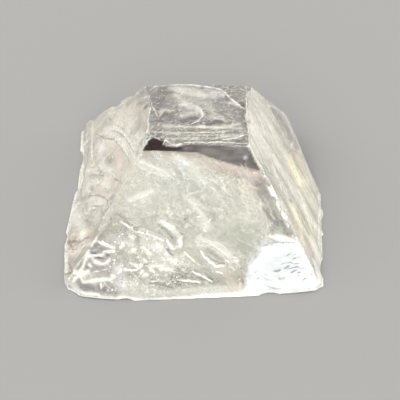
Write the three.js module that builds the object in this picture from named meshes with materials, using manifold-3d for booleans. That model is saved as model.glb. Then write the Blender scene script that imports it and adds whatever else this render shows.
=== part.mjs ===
// Apophyllite crystal tip: a four-sided {101} pyramid broken off on its {001} cleavage
// and blunted by a {001} top. Millimetres, +Z up, standing on the cleavage face.
import * as THREE from 'three';
import { mergeVertices } from 'three/addons/utils/BufferGeometryUtils.js';
import Module from 'manifold-3d';

const wasm = await Module();
wasm.setup();
const { Manifold, Mesh } = wasm;

// ---- driving dimensions -------------------------------------------------------------------

const LEFT_REACH = 11.0;    // from the crystal's axis to the foot of each face
const RIGHT_REACH = 11.15;
const FRONT_REACH = 10.1;
const BACK_REACH = 10.3;
const HEIGHT = 11.8;        // cleavage base to blunt top
const FACE_DIP = 60.4;      // degrees, the pyramid faces against the base
const VICINAL_LEAN = 0.5;   // degrees, how far the right and back faces grew off the ideal dip

// The last growth layers thicken the lower front face, one on another. Each is turned a little
// further than the one below it, so the stack tapers out to the right.
const LAYER_REACH = 0.27;   // how far each layer carries the foot forward
const LAYER_TURN = 0.9;     // degrees
const LAYER_STEP = 0.3;     // how far the broken edge of a layer falls
const FOOT_FACET = { heading: -86.4, dip: 75.0, reach: 10.96 };

// A shallower apron grew over the lower left face.
const LEFT_APRON_DIP = 52.9;
const LEFT_APRON_HEADING = 173.0;
const LEFT_APRON_REACH = 11.15;

// The back right corner is lost: a steep break across the foot under an overhanging roof, a
// narrower break round to the right, and a blunted arris above them. A thin strip of the back
// face's foot went the same way.
const BACK_BREAK = { heading: 66.0, dip: 78.0, reach: 8.45 };
const BREAK_ROOF = { heading: 57.1, dip: 134.2, reach: 6.5 };
const FOOT_BREAK = { heading: 90.0, dip: 78.0, reach: 9.34 };
const FOOT_ROOF = { heading: 90.0, dip: 139.2, reach: 8.6 };
const RIGHT_BREAK = { heading: 18.7, dip: 76.0, reach: 11.03 };
const BLUNT_ARRIS = { heading: 46.4, dip: 55.4, reach: 13.86 };

const CLEAVAGE_STEP = 0.12; // thickness of one parted cleavage sheet at the top's front edge
const BEVEL_DIP = 12.0;     // degrees, the corner facet at the back right of the top
const CUTTER = 60;          // edge of the blocks that cut the plane faces
const ROOT = 1.2;           // how deep a growth plate is rooted below its face
const EDGE_RUN = 0.5;       // how far a plate's edge slopes out, for each millimetre it falls
const CHIP_CLEARANCE = 3;   // how far out a flat chip's cutter reaches
const CHORDS = 2;           // chords between two given points of a smooth outline
const BALL_SIDES = 22;      // meridians of the ball that cuts a shell-shaped chip
const BALL_RINGS = 14;

// Where the broken foot meets the base, anticlockwise from the front left corner.
const FOOT_OUTLINE = [
  [-11.55, -9.4], [-11.15, -10.35], [-10.0, -10.88], [-8.4, -11.1], [-5.4, -11.3], [-1.9, -11.36],
  [0.4, -11.18], [2.9, -10.86], [5.6, -10.58], [8.2, -10.3], [9.7, -10.1], [10.8, -9.9], [11.15, -9.4],
  [11.22, -5.2], [11.3, -1.4], [11.3, 8.4],
  [4.4, 9.4], [-2.0, 10.2], [-11.05, 10.05], [-11.1, 7.4], [-10.9, 4.3], [-11.0, 1.9],
  [-11.55, 0.3], [-11.85, -1.4], [-11.85, -4.8],
];

// ---- meshes and solids --------------------------------------------------------------------

/** Turns a closed three.js geometry into a manifold solid, under an optional placement. */
function solidOf(geometry, placement = new THREE.Matrix4()) {
  const bare = geometry.clone().applyMatrix4(placement);
  bare.deleteAttribute('normal');
  bare.deleteAttribute('uv');
  const joined = mergeVertices(bare, 1e-5);
  const vertProperties = new Float32Array(joined.attributes.position.array);
  const triVerts = new Uint32Array(joined.index.array);
  return new Manifold(new Mesh({ numProp: 3, vertProperties, triVerts }));
}

/** Turns a manifold solid back into a flat-shaded three.js geometry. */
function geometryOf(solid) {
  const mesh = solid.getMesh();
  const geometry = new THREE.BufferGeometry();
  geometry.setAttribute('position', new THREE.BufferAttribute(new Float32Array(mesh.vertProperties), 3));
  geometry.setIndex(new THREE.BufferAttribute(new Uint32Array(mesh.triVerts), 1));
  geometry.computeVertexNormals();
  return geometry;
}

const radians = THREE.MathUtils.degToRad;

/**
 * The frame of a plane face: x runs across it, y up its slope and z straight out of it.
 * The face looks to the heading (degrees from +X), dips against the base by dip, and meets the
 * base plane at a distance reach from the crystal's axis.
 */
function faceFrame(heading, dip, reach) {
  const out = new THREE.Vector3(Math.cos(radians(heading)), Math.sin(radians(heading)), 0);
  const across = new THREE.Vector3(-out.y, out.x, 0);
  const normal = out.clone().multiplyScalar(Math.sin(radians(dip))).setZ(Math.cos(radians(dip)));
  const upslope = new THREE.Vector3().crossVectors(normal, across);
  const foot = out.clone().multiplyScalar(reach);
  return new THREE.Matrix4().makeBasis(across, upslope, normal).setPosition(foot);
}

/** A block whose near side lies on the face, so that taking it away leaves that face. */
function cutterOn(frame) {
  const lift = new THREE.Matrix4().makeTranslation(0, 0, CUTTER / 2);
  return solidOf(new THREE.BoxGeometry(CUTTER, CUTTER, CUTTER), frame.clone().multiply(lift));
}

/** A closed outline with straight edges between the corners. */
function straightOutline(corners) {
  return new THREE.Shape(corners.map(([x, y]) => new THREE.Vector2(x, y)));
}

/** A closed smooth outline through the points, with a few short chords to each stretch. */
function smoothOutline(points) {
  const loop = new THREE.CatmullRomCurve3(points.map(([x, y]) => new THREE.Vector3(x, y, 0)), true);
  const chords = loop.getPoints(points.length * CHORDS).slice(0, -1);
  return straightOutline(chords.map(({ x, y }) => [x, y]));
}

/** A growth plate proud of a face by thickness. Its edges slope down outside the points. */
function growthPlate(frame, points, thickness) {
  const slope = thickness * EDGE_RUN;
  const geometry = new THREE.ExtrudeGeometry(smoothOutline(points), {
    depth: ROOT,
    bevelThickness: thickness,
    bevelSize: slope,
    bevelSegments: 1,
  });
  return solidOf(geometry, frame.clone().multiply(new THREE.Matrix4().makeTranslation(0, 0, -ROOT)));
}

/** A ball that bites into the solid by depth where the point lies, from the outward side. */
function shellChip(point, outward, radius, depth) {
  const centre = new THREE.Vector3(...outward).normalize().multiplyScalar(radius - depth);
  centre.add(new THREE.Vector3(...point));
  const ball = new THREE.SphereGeometry(radius, BALL_SIDES, BALL_RINGS);
  return solidOf(ball, new THREE.Matrix4().setPosition(centre));
}

/** What is lost outside a flat chip: everything over its plane, within its outline. */
function facetChip({ heading, dip, reach }, points) {
  const shape = smoothOutline(points);
  const geometry = new THREE.ExtrudeGeometry(shape, { depth: CHIP_CLEARANCE, bevelEnabled: false });
  return solidOf(geometry, faceFrame(heading, dip, reach));
}

/** A point part way along the straight edge between two corners. */
function between(start, end, share) {
  return start.map((value, axis) => value + (end[axis] - value) * share);
}

// ---- the faces ----------------------------------------------------------------------------

const FRONT = faceFrame(-90, FACE_DIP, FRONT_REACH);
const RIGHT = faceFrame(0, FACE_DIP - VICINAL_LEAN, RIGHT_REACH);
const BACK = faceFrame(90, FACE_DIP + VICINAL_LEAN, BACK_REACH);
const LEFT = faceFrame(180, FACE_DIP, LEFT_REACH);
const LEFT_APRON = faceFrame(LEFT_APRON_HEADING, LEFT_APRON_DIP, LEFT_APRON_REACH);

/** The broken foot's outline carried straight up to the top: all the faces are cut from it. */
function footBlock() {
  const geometry = new THREE.ExtrudeGeometry(straightOutline(FOOT_OUTLINE), {
    depth: HEIGHT,
    bevelEnabled: false,
  });
  return solidOf(geometry);
}

/** Cuts the pyramid faces. Where the apron covers the left face, only what is outside both goes. */
function cutFaces(block) {
  const outsideLeft = cutterOn(LEFT).intersect(cutterOn(LEFT_APRON));
  return [cutterOn(FRONT), outsideLeft, cutterOn(RIGHT), cutterOn(BACK)].reduce(
    (solid, cutter) => solid.subtract(cutter),
    block,
  );
}

// ---- growth plates on the faces -----------------------------------------------------------

// Growth plates by face: how far each stands proud, and its outline in the face's own frame.
const FRONT_PLATES = [
  {
    rise: 0.14,
    points: [
      [-3.6, 6.6], [-2.5, 5.95], [-1.7, 5.3], [-1.3, 4.5], [-1.5, 3.7], [-2.3, 4.3], [-3.0, 5.2],
    ],
  },
  {
    rise: 0.07,
    points: [
      [-7.6, 8.4], [-5.2, 7.6], [-2.6, 8.0], [-0.4, 9.2], [1.6, 11.2], [-1.2, 11.9], [-4.6, 11.4],
      [-6.4, 10.6],
    ],
  },
  {
    rise: 0.06,
    points: [
      [3.1, 6.0], [5.1, 6.1], [5.1, 4.7], [3.0, 4.2],
    ],
  },
];

// The upper edge of each front layer, left to right, in that layer's own frame.
const LAYER_EDGES = [
  [
    [-12.4, 7.4], [-8.4, 6.9], [-7.1, 6.6], [-5.8, 5.9], [-4.5, 5.4], [-3.2, 4.9], [-2.4, 4.4],
    [-1.9, 3.8], [-1.2, 3.5], [-0.3, 2.7], [0.5, 2.1], [1.3, 2.4], [2.5, 2.5], [3.9, 2.3], [5.0, 2.7],
    [5.9, 3.7], [6.5, 4.1], [7.7, 4.4], [8.7, 4.4], [12.4, 4.2],
  ],
  [
    [-12.4, 4.4], [-9.3, 4.3], [-7.4, 4.7], [-6.0, 4.5], [-4.8, 4.1], [-3.8, 3.8], [-2.9, 3.4],
    [-2.1, 2.6], [-1.2, 1.9], [-0.3, 1.5], [1.1, 1.1], [2.9, 0.9], [4.5, 1.1], [6.0, 1.4], [8.0, 1.6],
    [12.4, 1.7],
  ],
  [
    [-12.4, 2.5], [-9.8, 2.4], [-8.2, 2.7], [-6.6, 2.9], [-5.2, 2.7], [-4.0, 2.2], [-3.0, 1.8],
    [-1.9, 1.2], [-0.9, 0.8], [1.2, 0.4], [3.0, 0.5], [5.0, 0.6], [8.0, 0.9], [12.4, 1.0],
  ],
  [
    [-12.4, 1.2], [-9.9, 1.1], [-8.3, 1.5], [-6.4, 1.6], [-4.9, 1.2], [-3.4, 0.9], [-2.0, 0.5],
    [0.0, 0.2], [2.4, 0.3], [5.0, 0.3], [8.0, 0.5], [12.4, 0.6],
  ],
];

// The last plate of all, at the front right corner of the foot, turned furthest.
const CORNER_PLANE = { heading: -85.2, dip: 63.1, reach: 10.75 };
const CORNER_STEP = 0.25;
const CORNER_POINTS = [
  [3.9, -1.4], [4.0, 0.3], [4.7, 1.4], [5.4, 2.7], [6.0, 3.6], [6.6, 4.1], [7.8, 4.4], [8.9, 4.4],
  [12.4, 4.2], [12.4, -1.4],
];

const LEFT_PLATES = [
  {
    rise: 0.07,
    points: [
      [-6.4, 3.0], [-4.6, 6.8], [-2.0, 8.7], [0.8, 10.2], [3.6, 12.0], [7.4, 9.0], [9.4, 3.4],
      [6.4, 1.0], [-1.2, 0.4],
    ],
  },
  {
    rise: 0.14,
    points: [
      [-5.6, 2.4], [-3.1, 6.7], [-0.7, 8.4], [1.4, 9.5], [3.4, 10.8], [7.6, 7.6], [8.4, 3.2],
      [3.6, 1.2],
    ],
  },
  {
    rise: 0.22,
    points: [
      [-3.4, 1.8], [-1.8, 5.1], [0.4, 6.9], [3.0, 8.8], [6.8, 7.6], [7.2, 4.4], [3.4, 1.8],
    ],
  },
];

const LEFT_APRON_PLATES = [
  {
    rise: 0.14,
    points: [
      [-1.2, -0.8], [1.2, 1.0], [3.4, 2.6], [5.0, 3.4], [6.8, 3.2], [8.0, 1.4], [8.6, -0.8],
    ],
  },
];

const BACK_PLATES = [
  {
    rise: 0.14,
    points: [
      [-6.0, 1.6], [-4.4, 5.8], [-1.6, 8.6], [2.2, 8.2], [5.4, 5.4], [7.4, 1.2], [1.0, -0.8],
    ],
  },
  {
    rise: 0.26,
    points: [
      [-1.6, 3.0], [-0.6, 6.4], [2.2, 7.0], [4.6, 4.4], [5.8, 1.4], [2.0, 1.0],
    ],
  },
];

/** The stack of layers over the lower front face, each a plate in its own turned frame. */
function frontLayers() {
  const below = -1.4;
  const layer = (plane, points, step) => (
    growthPlate(plane.multiply(new THREE.Matrix4().makeTranslation(0, 0, -step)), points, step)
  );
  const stack = LAYER_EDGES.map((edge, order) => {
    const above = order + 1;
    const plane = faceFrame(-90 + above * LAYER_TURN, FACE_DIP, FRONT_REACH + above * LAYER_REACH);
    const points = [...edge, [edge.at(-1)[0], below], [edge[0][0], below]];
    return layer(plane, points, LAYER_STEP);
  });
  const { heading, dip, reach } = CORNER_PLANE;
  return [...stack, layer(faceFrame(heading, dip, reach), CORNER_POINTS, CORNER_STEP)];
}

/** Long lens-shaped ridges on the right face, side by side along its front edge. */
function rightRidges() {
  const ridges = [
    { foot: [-8.2, 1.0], head: [-4.2, 11.6], width: 1.1, rise: 0.1 },
    { foot: [-6.2, 0.4], head: [-2.4, 9.8], width: 1.5, rise: 0.15 },
    { foot: [-3.4, -0.6], head: [-0.6, 10.8], width: 1.4, rise: 0.11 },
    { foot: [-1.2, -0.8], head: [1.4, 7.8], width: 1.7, rise: 0.17 },
    { foot: [0.6, 3.2], head: [2.9, 10.4], width: 1.2, rise: 0.09 },
  ];
  return ridges.map(({ foot, head, width, rise }) => {
    const run = new THREE.Vector2(head[0] - foot[0], head[1] - foot[1]);
    const side = new THREE.Vector2(-run.y, run.x).normalize().multiplyScalar(width / 2);
    const station = (share, swell) => [
      foot[0] + run.x * share + side.x * swell,
      foot[1] + run.y * share + side.y * swell,
    ];
    const outward = [station(0, 0), station(0.3, -1), station(0.7, -0.8)];
    const homeward = [station(1, 0), station(0.6, 1), station(0.25, 0.8)];
    return { points: [...outward, ...homeward], rise };
  });
}

/**
 * Every growth plate. Plates reach past the edges of their face, so each is held to the solid
 * that the foot's outline and all the other faces leave.
 */
function growthPlates(block) {
  const front = cutterOn(FRONT);
  const left = cutterOn(LEFT).intersect(cutterOn(LEFT_APRON));
  const right = cutterOn(RIGHT);
  const back = cutterOn(BACK);
  const held = (plates, others) => {
    const room = others.reduce((solid, other) => solid.subtract(other), block);
    return plates.map((plate) => plate.intersect(room));
  };
  const bounded = (frame, plates, others) => held(
    plates.map(({ points, rise }) => growthPlate(frame, points, rise)),
    others,
  );
  const footFacet = cutterOn(faceFrame(FOOT_FACET.heading, FOOT_FACET.dip, FOOT_FACET.reach));
  return [
    ...held(frontLayers(), [left, right, back, footFacet]),
    ...bounded(FRONT, FRONT_PLATES, [left, right, back]),
    ...bounded(LEFT, LEFT_PLATES, [front, right, back]),
    ...bounded(LEFT_APRON, LEFT_APRON_PLATES, [front, right, back]),
    ...bounded(BACK, BACK_PLATES, [front, left, right]),
    ...bounded(RIGHT, rightRidges(), [front, left, back]),
  ];
}

// ---- the blunt top ------------------------------------------------------------------------

// Each parted sheet's broken edge, left to right, over the top's front part.
const STEP_EDGES = [
  [[-6, -1.9], [-4.1, -2.1], [-1.9, -2.2], [0.2, -2.1], [2.4, -2.0], [4.2, -1.5], [6, -1.4]],
  [[-6, -2.6], [-4.1, -2.7], [-1.9, -2.8], [0.2, -2.7], [2.9, -2.6], [4.2, -2.1], [6, -1.9]],
];

/** Takes off the parted sheets in front of each broken edge, one step lower each time. */
function partedSheets() {
  const lip = -6;
  return STEP_EDGES.map((edge, order) => {
    const shape = new THREE.Shape();
    shape.moveTo(edge[0][0], lip);
    shape.lineTo(edge.at(-1)[0], lip);
    [...edge].reverse().forEach(([x, y]) => shape.lineTo(x, y));
    shape.closePath();
    const sheet = new THREE.ExtrudeGeometry(shape, { depth: HEIGHT, bevelEnabled: false });
    const drop = HEIGHT - CLEAVAGE_STEP * (order + 1);
    return solidOf(sheet, new THREE.Matrix4().makeTranslation(0, 0, drop));
  });
}

/** The gently sloping facet that takes off the top's back right corner. */
function cornerFacet() {
  const heading = 43.5;
  const reach = 3.41;
  const frame = faceFrame(heading, BEVEL_DIP, reach);
  frame.elements[14] = HEIGHT;
  return cutterOn(frame);
}

// ---- chips --------------------------------------------------------------------------------

const CORNERS = {
  topFrontLeft: [-4.4, -3.5, HEIGHT - 2 * CLEAVAGE_STEP],
  topFrontRight: [4.4, -3.5, HEIGHT - 2 * CLEAVAGE_STEP],
  topBackLeft: [-4.25, 3.7, HEIGHT],
  topBackRight: [4.25, 3.7, HEIGHT],
  footFrontLeft: [-11.4, -10.5, 0],
  footFrontRight: [11.1, -9.9, 0],
  footBackLeft: [-11.0, 10.1, 0],
};

// The notch that rises like an arch into the top's front edge, left of its middle.
const NOTCH = { heading: -90, dip: 62, reach: 9.12 };
const NOTCH_OUTLINE = [
  [-4.3, 14.6], [-4.28, 13.0], [-4.1, 12.5], [-3.75, 12.3], [-3.35, 12.35], [-3.05, 12.7],
  [-2.95, 13.2], [-3.0, 14.6],
];

// Knocked arrises: for each bite the share along it, the radius of the shell and its depth.
const KNOCKED_ARRISES = [
  { from: 'topFrontLeft', to: 'footFrontLeft', lift: 0.7, bites: [[0.08, 1.4, 0.1], [0.22, 1.8, 0.12]] },
  { from: 'topFrontRight', to: 'footFrontRight', lift: 0.7, bites: [[0.2, 1.4, 0.1], [0.43, 2.0, 0.12]] },
  { from: 'footFrontRight', to: 'topFrontRight', lift: 0.7, bites: [[0.1, 2.4, 0.14], [0.34, 1.4, 0.1]] },
  { from: 'topBackLeft', to: 'footBackLeft', lift: 0.7, bites: [[0.22, 2.0, 0.14], [0.46, 2.6, 0.2]] },
  { from: 'footBackLeft', to: 'topBackLeft', lift: 0.7, bites: [[0.2, 2.4, 0.16]] },
  { from: 'topFrontLeft', to: 'topBackLeft', lift: 1.2, bites: [[0.3, 2.2, 0.1], [0.88, 3.6, 0.28]] },
  { from: 'topFrontRight', to: 'topBackRight', lift: 1.2, bites: [[0.46, 1.8, 0.14], [0.8, 2.8, 0.22]] },
  { from: 'topBackLeft', to: 'topBackRight', lift: 1.2, bites: [[0.2, 1.8, 0.1], [0.55, 2.2, 0.12]] },
];

// Knocked foot: the same three values, with the share taken once round the foot's outline.
const FOOT_LIFT = 0.35;
const FOOT_BITES = [
  [0.02, 1.8, 0.1], [0.08, 1.4, 0.06], [0.125, 2.2, 0.09], [0.17, 1.5, 0.07], [0.215, 2.0, 0.09],
  [0.275, 1.6, 0.1], [0.32, 2.2, 0.12], [0.38, 1.6, 0.1], [0.68, 2.4, 0.14], [0.74, 1.8, 0.12],
  [0.83, 2.6, 0.12], [0.93, 2.0, 0.12],
];

/** The point a share of the way round the foot's outline. */
function alongFoot(share) {
  const loop = [...FOOT_OUTLINE, FOOT_OUTLINE[0]];
  const lengths = FOOT_OUTLINE.map(([x, y], i) => Math.hypot(loop[i + 1][0] - x, loop[i + 1][1] - y));
  let left = share * lengths.reduce((sum, length) => sum + length, 0);
  const side = lengths.findIndex((length) => {
    left -= length;
    return left <= 0;
  });
  return [...between(loop[side + 1], loop[side], -left / lengths[side]), 0];
}

/** Shell-shaped chips along every edge, and the two that notch the top's front edge. */
function chips() {
  const bite = (point, lift, radius, depth) => {
    const away = Math.hypot(point[0], point[1]);
    return shellChip(point, [point[0] / away, point[1] / away, lift], radius, depth);
  };
  const notches = [
    facetChip(NOTCH, NOTCH_OUTLINE),
    shellChip([-2.3, -3.6, HEIGHT], [0.1, -1, 0.5], 0.9, 0.1),
  ];
  const onArrises = KNOCKED_ARRISES.flatMap(({ from, to, lift, bites }) => bites.map(
    ([share, radius, depth]) => bite(between(CORNERS[from], CORNERS[to], share), lift, radius, depth),
  ));
  const onFoot = FOOT_BITES.map(
    ([share, radius, depth]) => bite(alongFoot(share), FOOT_LIFT, radius, depth),
  );
  return [...notches, ...onArrises, ...onFoot];
}

/** The breaks at the back right: three planes, hollowed by the shells that run down them. */
function breaks() {
  const cut = ({ heading, dip, reach }) => cutterOn(faceFrame(heading, dip, reach));
  const corner = cut(BACK_BREAK).intersect(cut(BREAK_ROOF));
  const strip = cut(FOOT_BREAK).intersect(cut(FOOT_ROOF));
  return [corner, strip, cut(RIGHT_BREAK), cut(BLUNT_ARRIS)];
}

// ---- the crystal --------------------------------------------------------------------------

/** Grows, breaks and chips the crystal, and returns it standing at the middle of its box. */
function crystalGeometry() {
  const block = footBlock();
  const grown = growthPlates(block).reduce((solid, plate) => solid.add(plate), cutFaces(block));
  const losses = [...breaks(), ...partedSheets(), cornerFacet(), ...chips()];
  const broken = losses.reduce((solid, loss) => solid.subtract(loss), grown);
  const geometry = geometryOf(broken);
  geometry.computeBoundingBox();
  const middle = geometry.boundingBox.getCenter(new THREE.Vector3());
  return geometry.translate(-middle.x, -middle.y, 0);
}

const clearCrystal = new THREE.MeshStandardMaterial({
  name: 'clear_crystal',
  color: 0xdcdad4,
  roughness: 0.12,
  metalness: 0,
});

const crystal = new THREE.Mesh(crystalGeometry(), clearCrystal);
crystal.name = 'apophyllite_crystal';

const specimen = new THREE.Group();
specimen.add(crystal);

export default specimen;
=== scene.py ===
"""Looks of a loose clear apophyllite crystal standing on its flat cleavage.

Blender works in metres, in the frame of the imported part: +Z up, the front pyramid side towards
-Y. The shapes in this file are worked out in millimetres from the pyramid's own axis, and MM and
AXIS carry them over.
"""

import logging
import math
from dataclasses import dataclass, field
from enum import Enum
from typing import Optional

import bpy
import numpy as np
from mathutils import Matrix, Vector
from mathutils.bvhtree import BVHTree


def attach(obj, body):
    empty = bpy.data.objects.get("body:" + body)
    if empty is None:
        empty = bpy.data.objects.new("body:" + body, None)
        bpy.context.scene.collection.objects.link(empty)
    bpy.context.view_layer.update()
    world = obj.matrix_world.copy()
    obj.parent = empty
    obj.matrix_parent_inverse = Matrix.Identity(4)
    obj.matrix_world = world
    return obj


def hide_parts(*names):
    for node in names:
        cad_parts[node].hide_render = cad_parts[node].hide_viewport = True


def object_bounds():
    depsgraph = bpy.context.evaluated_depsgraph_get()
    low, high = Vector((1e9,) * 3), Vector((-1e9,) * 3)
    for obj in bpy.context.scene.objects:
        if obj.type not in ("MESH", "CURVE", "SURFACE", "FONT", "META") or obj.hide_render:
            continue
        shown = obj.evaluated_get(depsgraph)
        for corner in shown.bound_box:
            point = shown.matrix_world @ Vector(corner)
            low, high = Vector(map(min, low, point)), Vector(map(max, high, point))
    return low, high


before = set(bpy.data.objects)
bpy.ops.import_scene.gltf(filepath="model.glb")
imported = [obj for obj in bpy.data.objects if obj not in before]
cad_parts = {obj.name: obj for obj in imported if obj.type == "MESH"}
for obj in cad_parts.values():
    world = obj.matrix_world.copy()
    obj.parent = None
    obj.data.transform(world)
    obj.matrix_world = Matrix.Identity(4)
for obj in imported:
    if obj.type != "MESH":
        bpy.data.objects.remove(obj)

MM = 0.001
AXIS = np.array([0.273, 0.678, 0.0])
HEIGHT = 11.8
NEAR = 1.4  # how far from a side's true plane its layers may lie
FAR = 1e9
TINY = 1e-6
NODE = "apophyllite_crystal"
BODY = "root"
TINT = "tint"

Numbers = np.ndarray
Outline = tuple[tuple[float, float], ...]
Colour = tuple[float, float, float]
Pair = tuple[float, float]

cad_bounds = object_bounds()
log = logging.getLogger("apophyllite")


# ---- measuring ----------------------------------------------------------------------------


def ease(low: float, high: float, value: Numbers) -> Numbers:
    """Rises smoothly from 0 at low to 1 at high; low may be the larger."""
    share = np.clip((value - low) / (high - low), 0.0, 1.0)
    return share * share * (3.0 - 2.0 * share)


def turned(across: Numbers, up: Numbers, lean: float) -> tuple[Numbers, Numbers]:
    """Turns coordinates to run along and beside a direction that leans so many degrees."""
    turn = math.radians(lean)
    return across * math.cos(turn) + up * math.sin(turn), up * math.cos(turn) - across * math.sin(turn)


def numbers_of(items: bpy.types.bpy_prop_collection, name: str, wide: int, kind: type = float) -> Numbers:
    """Reads one property of all of a mesh's points, edges or colours.

    Args:
        items: The points, edges or colours.
        name: The property.
        wide: How many numbers each has.
        kind: What kind of number they are.

    Returns:
        One row an item.
    """
    flat = np.empty(len(items) * wide, dtype=kind)
    items.foreach_get(name, flat)
    return flat.reshape(-1, wide)


@dataclass(frozen=True)
class Grain:
    """Smooth noise that comes out the same on every run."""

    seed: int
    mix: tuple = (374761393, 668265263, 974634777, 1274126177, 2246822519)
    word: int = 0xFFFFFFFF
    step: float = 2.03
    shift: Pair = (17.3, -9.1)
    boost: float = 1.5
    vein_sharpness: float = 2.4

    def knots(self, column: Numbers, row: Numbers) -> Numbers:
        """Gives each whole-numbered knot its own number from -1 to 1.

        Args:
            column: The knots' columns.
            row: Their rows.

        Returns:
            One number a knot.
        """
        by_column, by_row, by_seed, first, second = self.mix
        mixed = (column.astype(np.int64) * by_column + row.astype(np.int64) * by_row
                 + self.seed * by_seed) & self.word
        mixed = ((mixed ^ (mixed >> 13)) * first) & self.word
        mixed = ((mixed ^ (mixed >> 16)) * second) & self.word
        return ((mixed >> 8) & 0xFFFF) / 32767.5 - 1.0

    def plain(self, across: Numbers, up: Numbers) -> Numbers:
        """Blends the four knots round each point.

        Args:
            across: First coordinate, in knots.
            up: Second coordinate, in knots.

        Returns:
            Noise from -1 to 1.
        """
        column, row = np.floor(across), np.floor(up)
        x, y = across - column, up - row
        x, y = x * x * (3 - 2 * x), y * y * (3 - 2 * y)
        low = self.knots(column, row) * (1 - x) + self.knots(column + 1, row) * x
        high = self.knots(column, row + 1) * (1 - x) + self.knots(column + 1, row + 1) * x
        return low * (1 - y) + high * y

    def layered(self, across: Numbers, up: Numbers, layers: int = 4, gain: float = 0.5) -> Numbers:
        """Adds finer and finer noise.

        Args:
            across: First coordinate, in knots of the coarsest layer.
            up: Second coordinate.
            layers: How many layers are added.
            gain: How much weaker each finer layer is.

        Returns:
            Noise from about -1 to 1.
        """
        total, weight, reach = np.zeros_like(across), 1.0, 0.0
        for layer in range(layers):
            finer = self.step ** layer
            total += weight * self.plain(across * finer + self.shift[0] * layer,
                                         up * finer + self.shift[1] * layer)
            reach += weight
            weight *= gain
        return self.boost * total / reach

    def veins(self, across: Numbers, up: Numbers, layers: int = 3) -> Numbers:
        """Thin bright lines where the layered noise crosses zero."""
        return 1.0 - np.clip(np.abs(self.layered(across, up, layers)) * self.vein_sharpness, 0.0, 1.0)


def path_distance(across: Numbers, up: Numbers, path: Outline) -> Numbers:
    """Distance to an open path.

    Args:
        across: First coordinates of the points.
        up: Second coordinates.
        path: Points of the path.

    Returns:
        One distance a point.
    """
    nearest = np.full(across.shape, FAR)
    for (ax, ay), (bx, by) in zip(path, path[1:]):
        dx, dy = bx - ax, by - ay
        share = np.clip(((across - ax) * dx + (up - ay) * dy) / (dx * dx + dy * dy + TINY ** 2), 0, 1)
        nearest = np.minimum(nearest, np.hypot(across - ax - share * dx, up - ay - share * dy))
    return nearest


def edge_distance(across: Numbers, up: Numbers, outline: Outline) -> Numbers:
    """Distance to a closed outline, positive inside it.

    Args:
        across: First coordinates of the points.
        up: Second coordinates.
        outline: The outline's corners.

    Returns:
        One signed distance a point.
    """
    inside = np.zeros(across.shape, dtype=bool)
    for (ax, ay), (bx, by) in zip(outline, outline[1:] + outline[:1]):
        place = (bx - ax) * (up - ay) / (by - ay + (by == ay)) + ax
        inside ^= ((ay > up) != (by > up)) & (across < place)
    nearest = path_distance(across, up, outline + outline[:1])
    return np.where(inside, nearest, -nearest)


# ---- sides and camera ---------------------------------------------------------------------


@dataclass(frozen=True)
class Facet:
    """One side of the crystal with flat coordinates of its own: across, up and out."""

    name: str
    heading: float
    dip: float
    reach: float
    rise: float = 0.0

    def axes(self) -> tuple[Numbers, Numbers, Numbers, Numbers]:
        """Gives the foot of the side and its three directions.

        Returns:
            Origin, across, up and out.
        """
        turn, dip = math.radians(self.heading), math.radians(self.dip)
        ahead = np.array([math.cos(turn), math.sin(turn), 0.0])
        across = np.array([-math.sin(turn), math.cos(turn), 0.0])
        up = np.array([0.0, 0.0, math.sin(dip)]) - ahead * math.cos(dip)
        out = ahead * math.sin(dip) + np.array([0.0, 0.0, math.cos(dip)])
        return ahead * self.reach + np.array([0.0, 0.0, self.rise]), across, up, out

    def flat(self, points: Numbers) -> tuple[Numbers, Numbers, Numbers]:
        """Turns points about the axis into across, up and out of this side."""
        origin, *ways = self.axes()
        return tuple((points - origin) @ way for way in ways)

    def place(self, across: Numbers, up: Numbers, out: Numbers) -> Numbers:
        """Turns this side's coordinates back into points about the axis."""
        origin, right, top, away = self.axes()
        return origin + np.outer(across, right) + np.outer(up, top) + np.outer(out, away)

    def faced(self, facing: Numbers) -> Numbers:
        """Tells how squarely directions point out of this side, 1 for just so."""
        return facing @ self.axes()[3]

    def off(self, points: Numbers) -> Numbers:
        """Gives how far points lie from this side's true plane, either way."""
        return np.abs(self.flat(points)[2])


FRONT = Facet("front", -90.0, 60.4, 10.1)
RIGHT = Facet("right", 0.0, 59.9, 11.15)
LEFT = Facet("left", 180.0, 60.4, 11.0)
BACK = Facet("back", 90.0, 60.9, 10.3)
TOP = Facet("top", -90.0, 0.0, 0.0, HEIGHT)


@dataclass(frozen=True)
class ViewPoint:
    """The camera: where it looks, from how far and how high."""

    target: tuple = (0.44 * MM, 1.508 * MM, 0.0)
    away: float = 215.85 * MM
    height: float = 46.96
    swing: float = 0.66
    lens: float = 214.31
    sensor: float = 36.0
    picture: float = 400.0
    nearest: float = 0.01

    def look(self) -> Vector:
        """Gives the direction it looks in."""
        up, around = math.radians(self.height), math.radians(self.swing)
        return Vector((-math.sin(around) * math.cos(up), math.cos(around) * math.cos(up), -math.sin(up)))

    def place(self) -> Vector:
        """Gives where it stands."""
        return Vector(self.target) - self.look() * self.away

    def spread(self) -> float:
        """Gives the width of one picture element at a depth of one."""
        return self.sensor / self.lens / self.picture

    def sight(self, x: float, y: float) -> Vector:
        """Works out the line of sight through one place of its picture.

        Args:
            x: Picture elements from the left edge.
            y: Picture elements from the top edge.

        Returns:
            The direction, one deep.
        """
        right = self.look().cross(Vector((0.0, 0.0, 1.0))).normalized()
        down = self.look().cross(right)
        middle = self.picture / 2
        return self.look() + (right * (x - middle) + down * (y - middle)) * self.spread()

    def build(self) -> None:
        """Sets up the camera and makes it the scene's own."""
        bpy.ops.object.camera_add()
        camera = bpy.context.object
        camera.data.lens = self.lens
        camera.data.sensor_width = self.sensor
        camera.data.clip_start = self.nearest
        camera.location = self.place()
        camera.rotation_euler = self.look().to_track_quat("-Z", "Y").to_euler()
        bpy.context.scene.camera = camera


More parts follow.
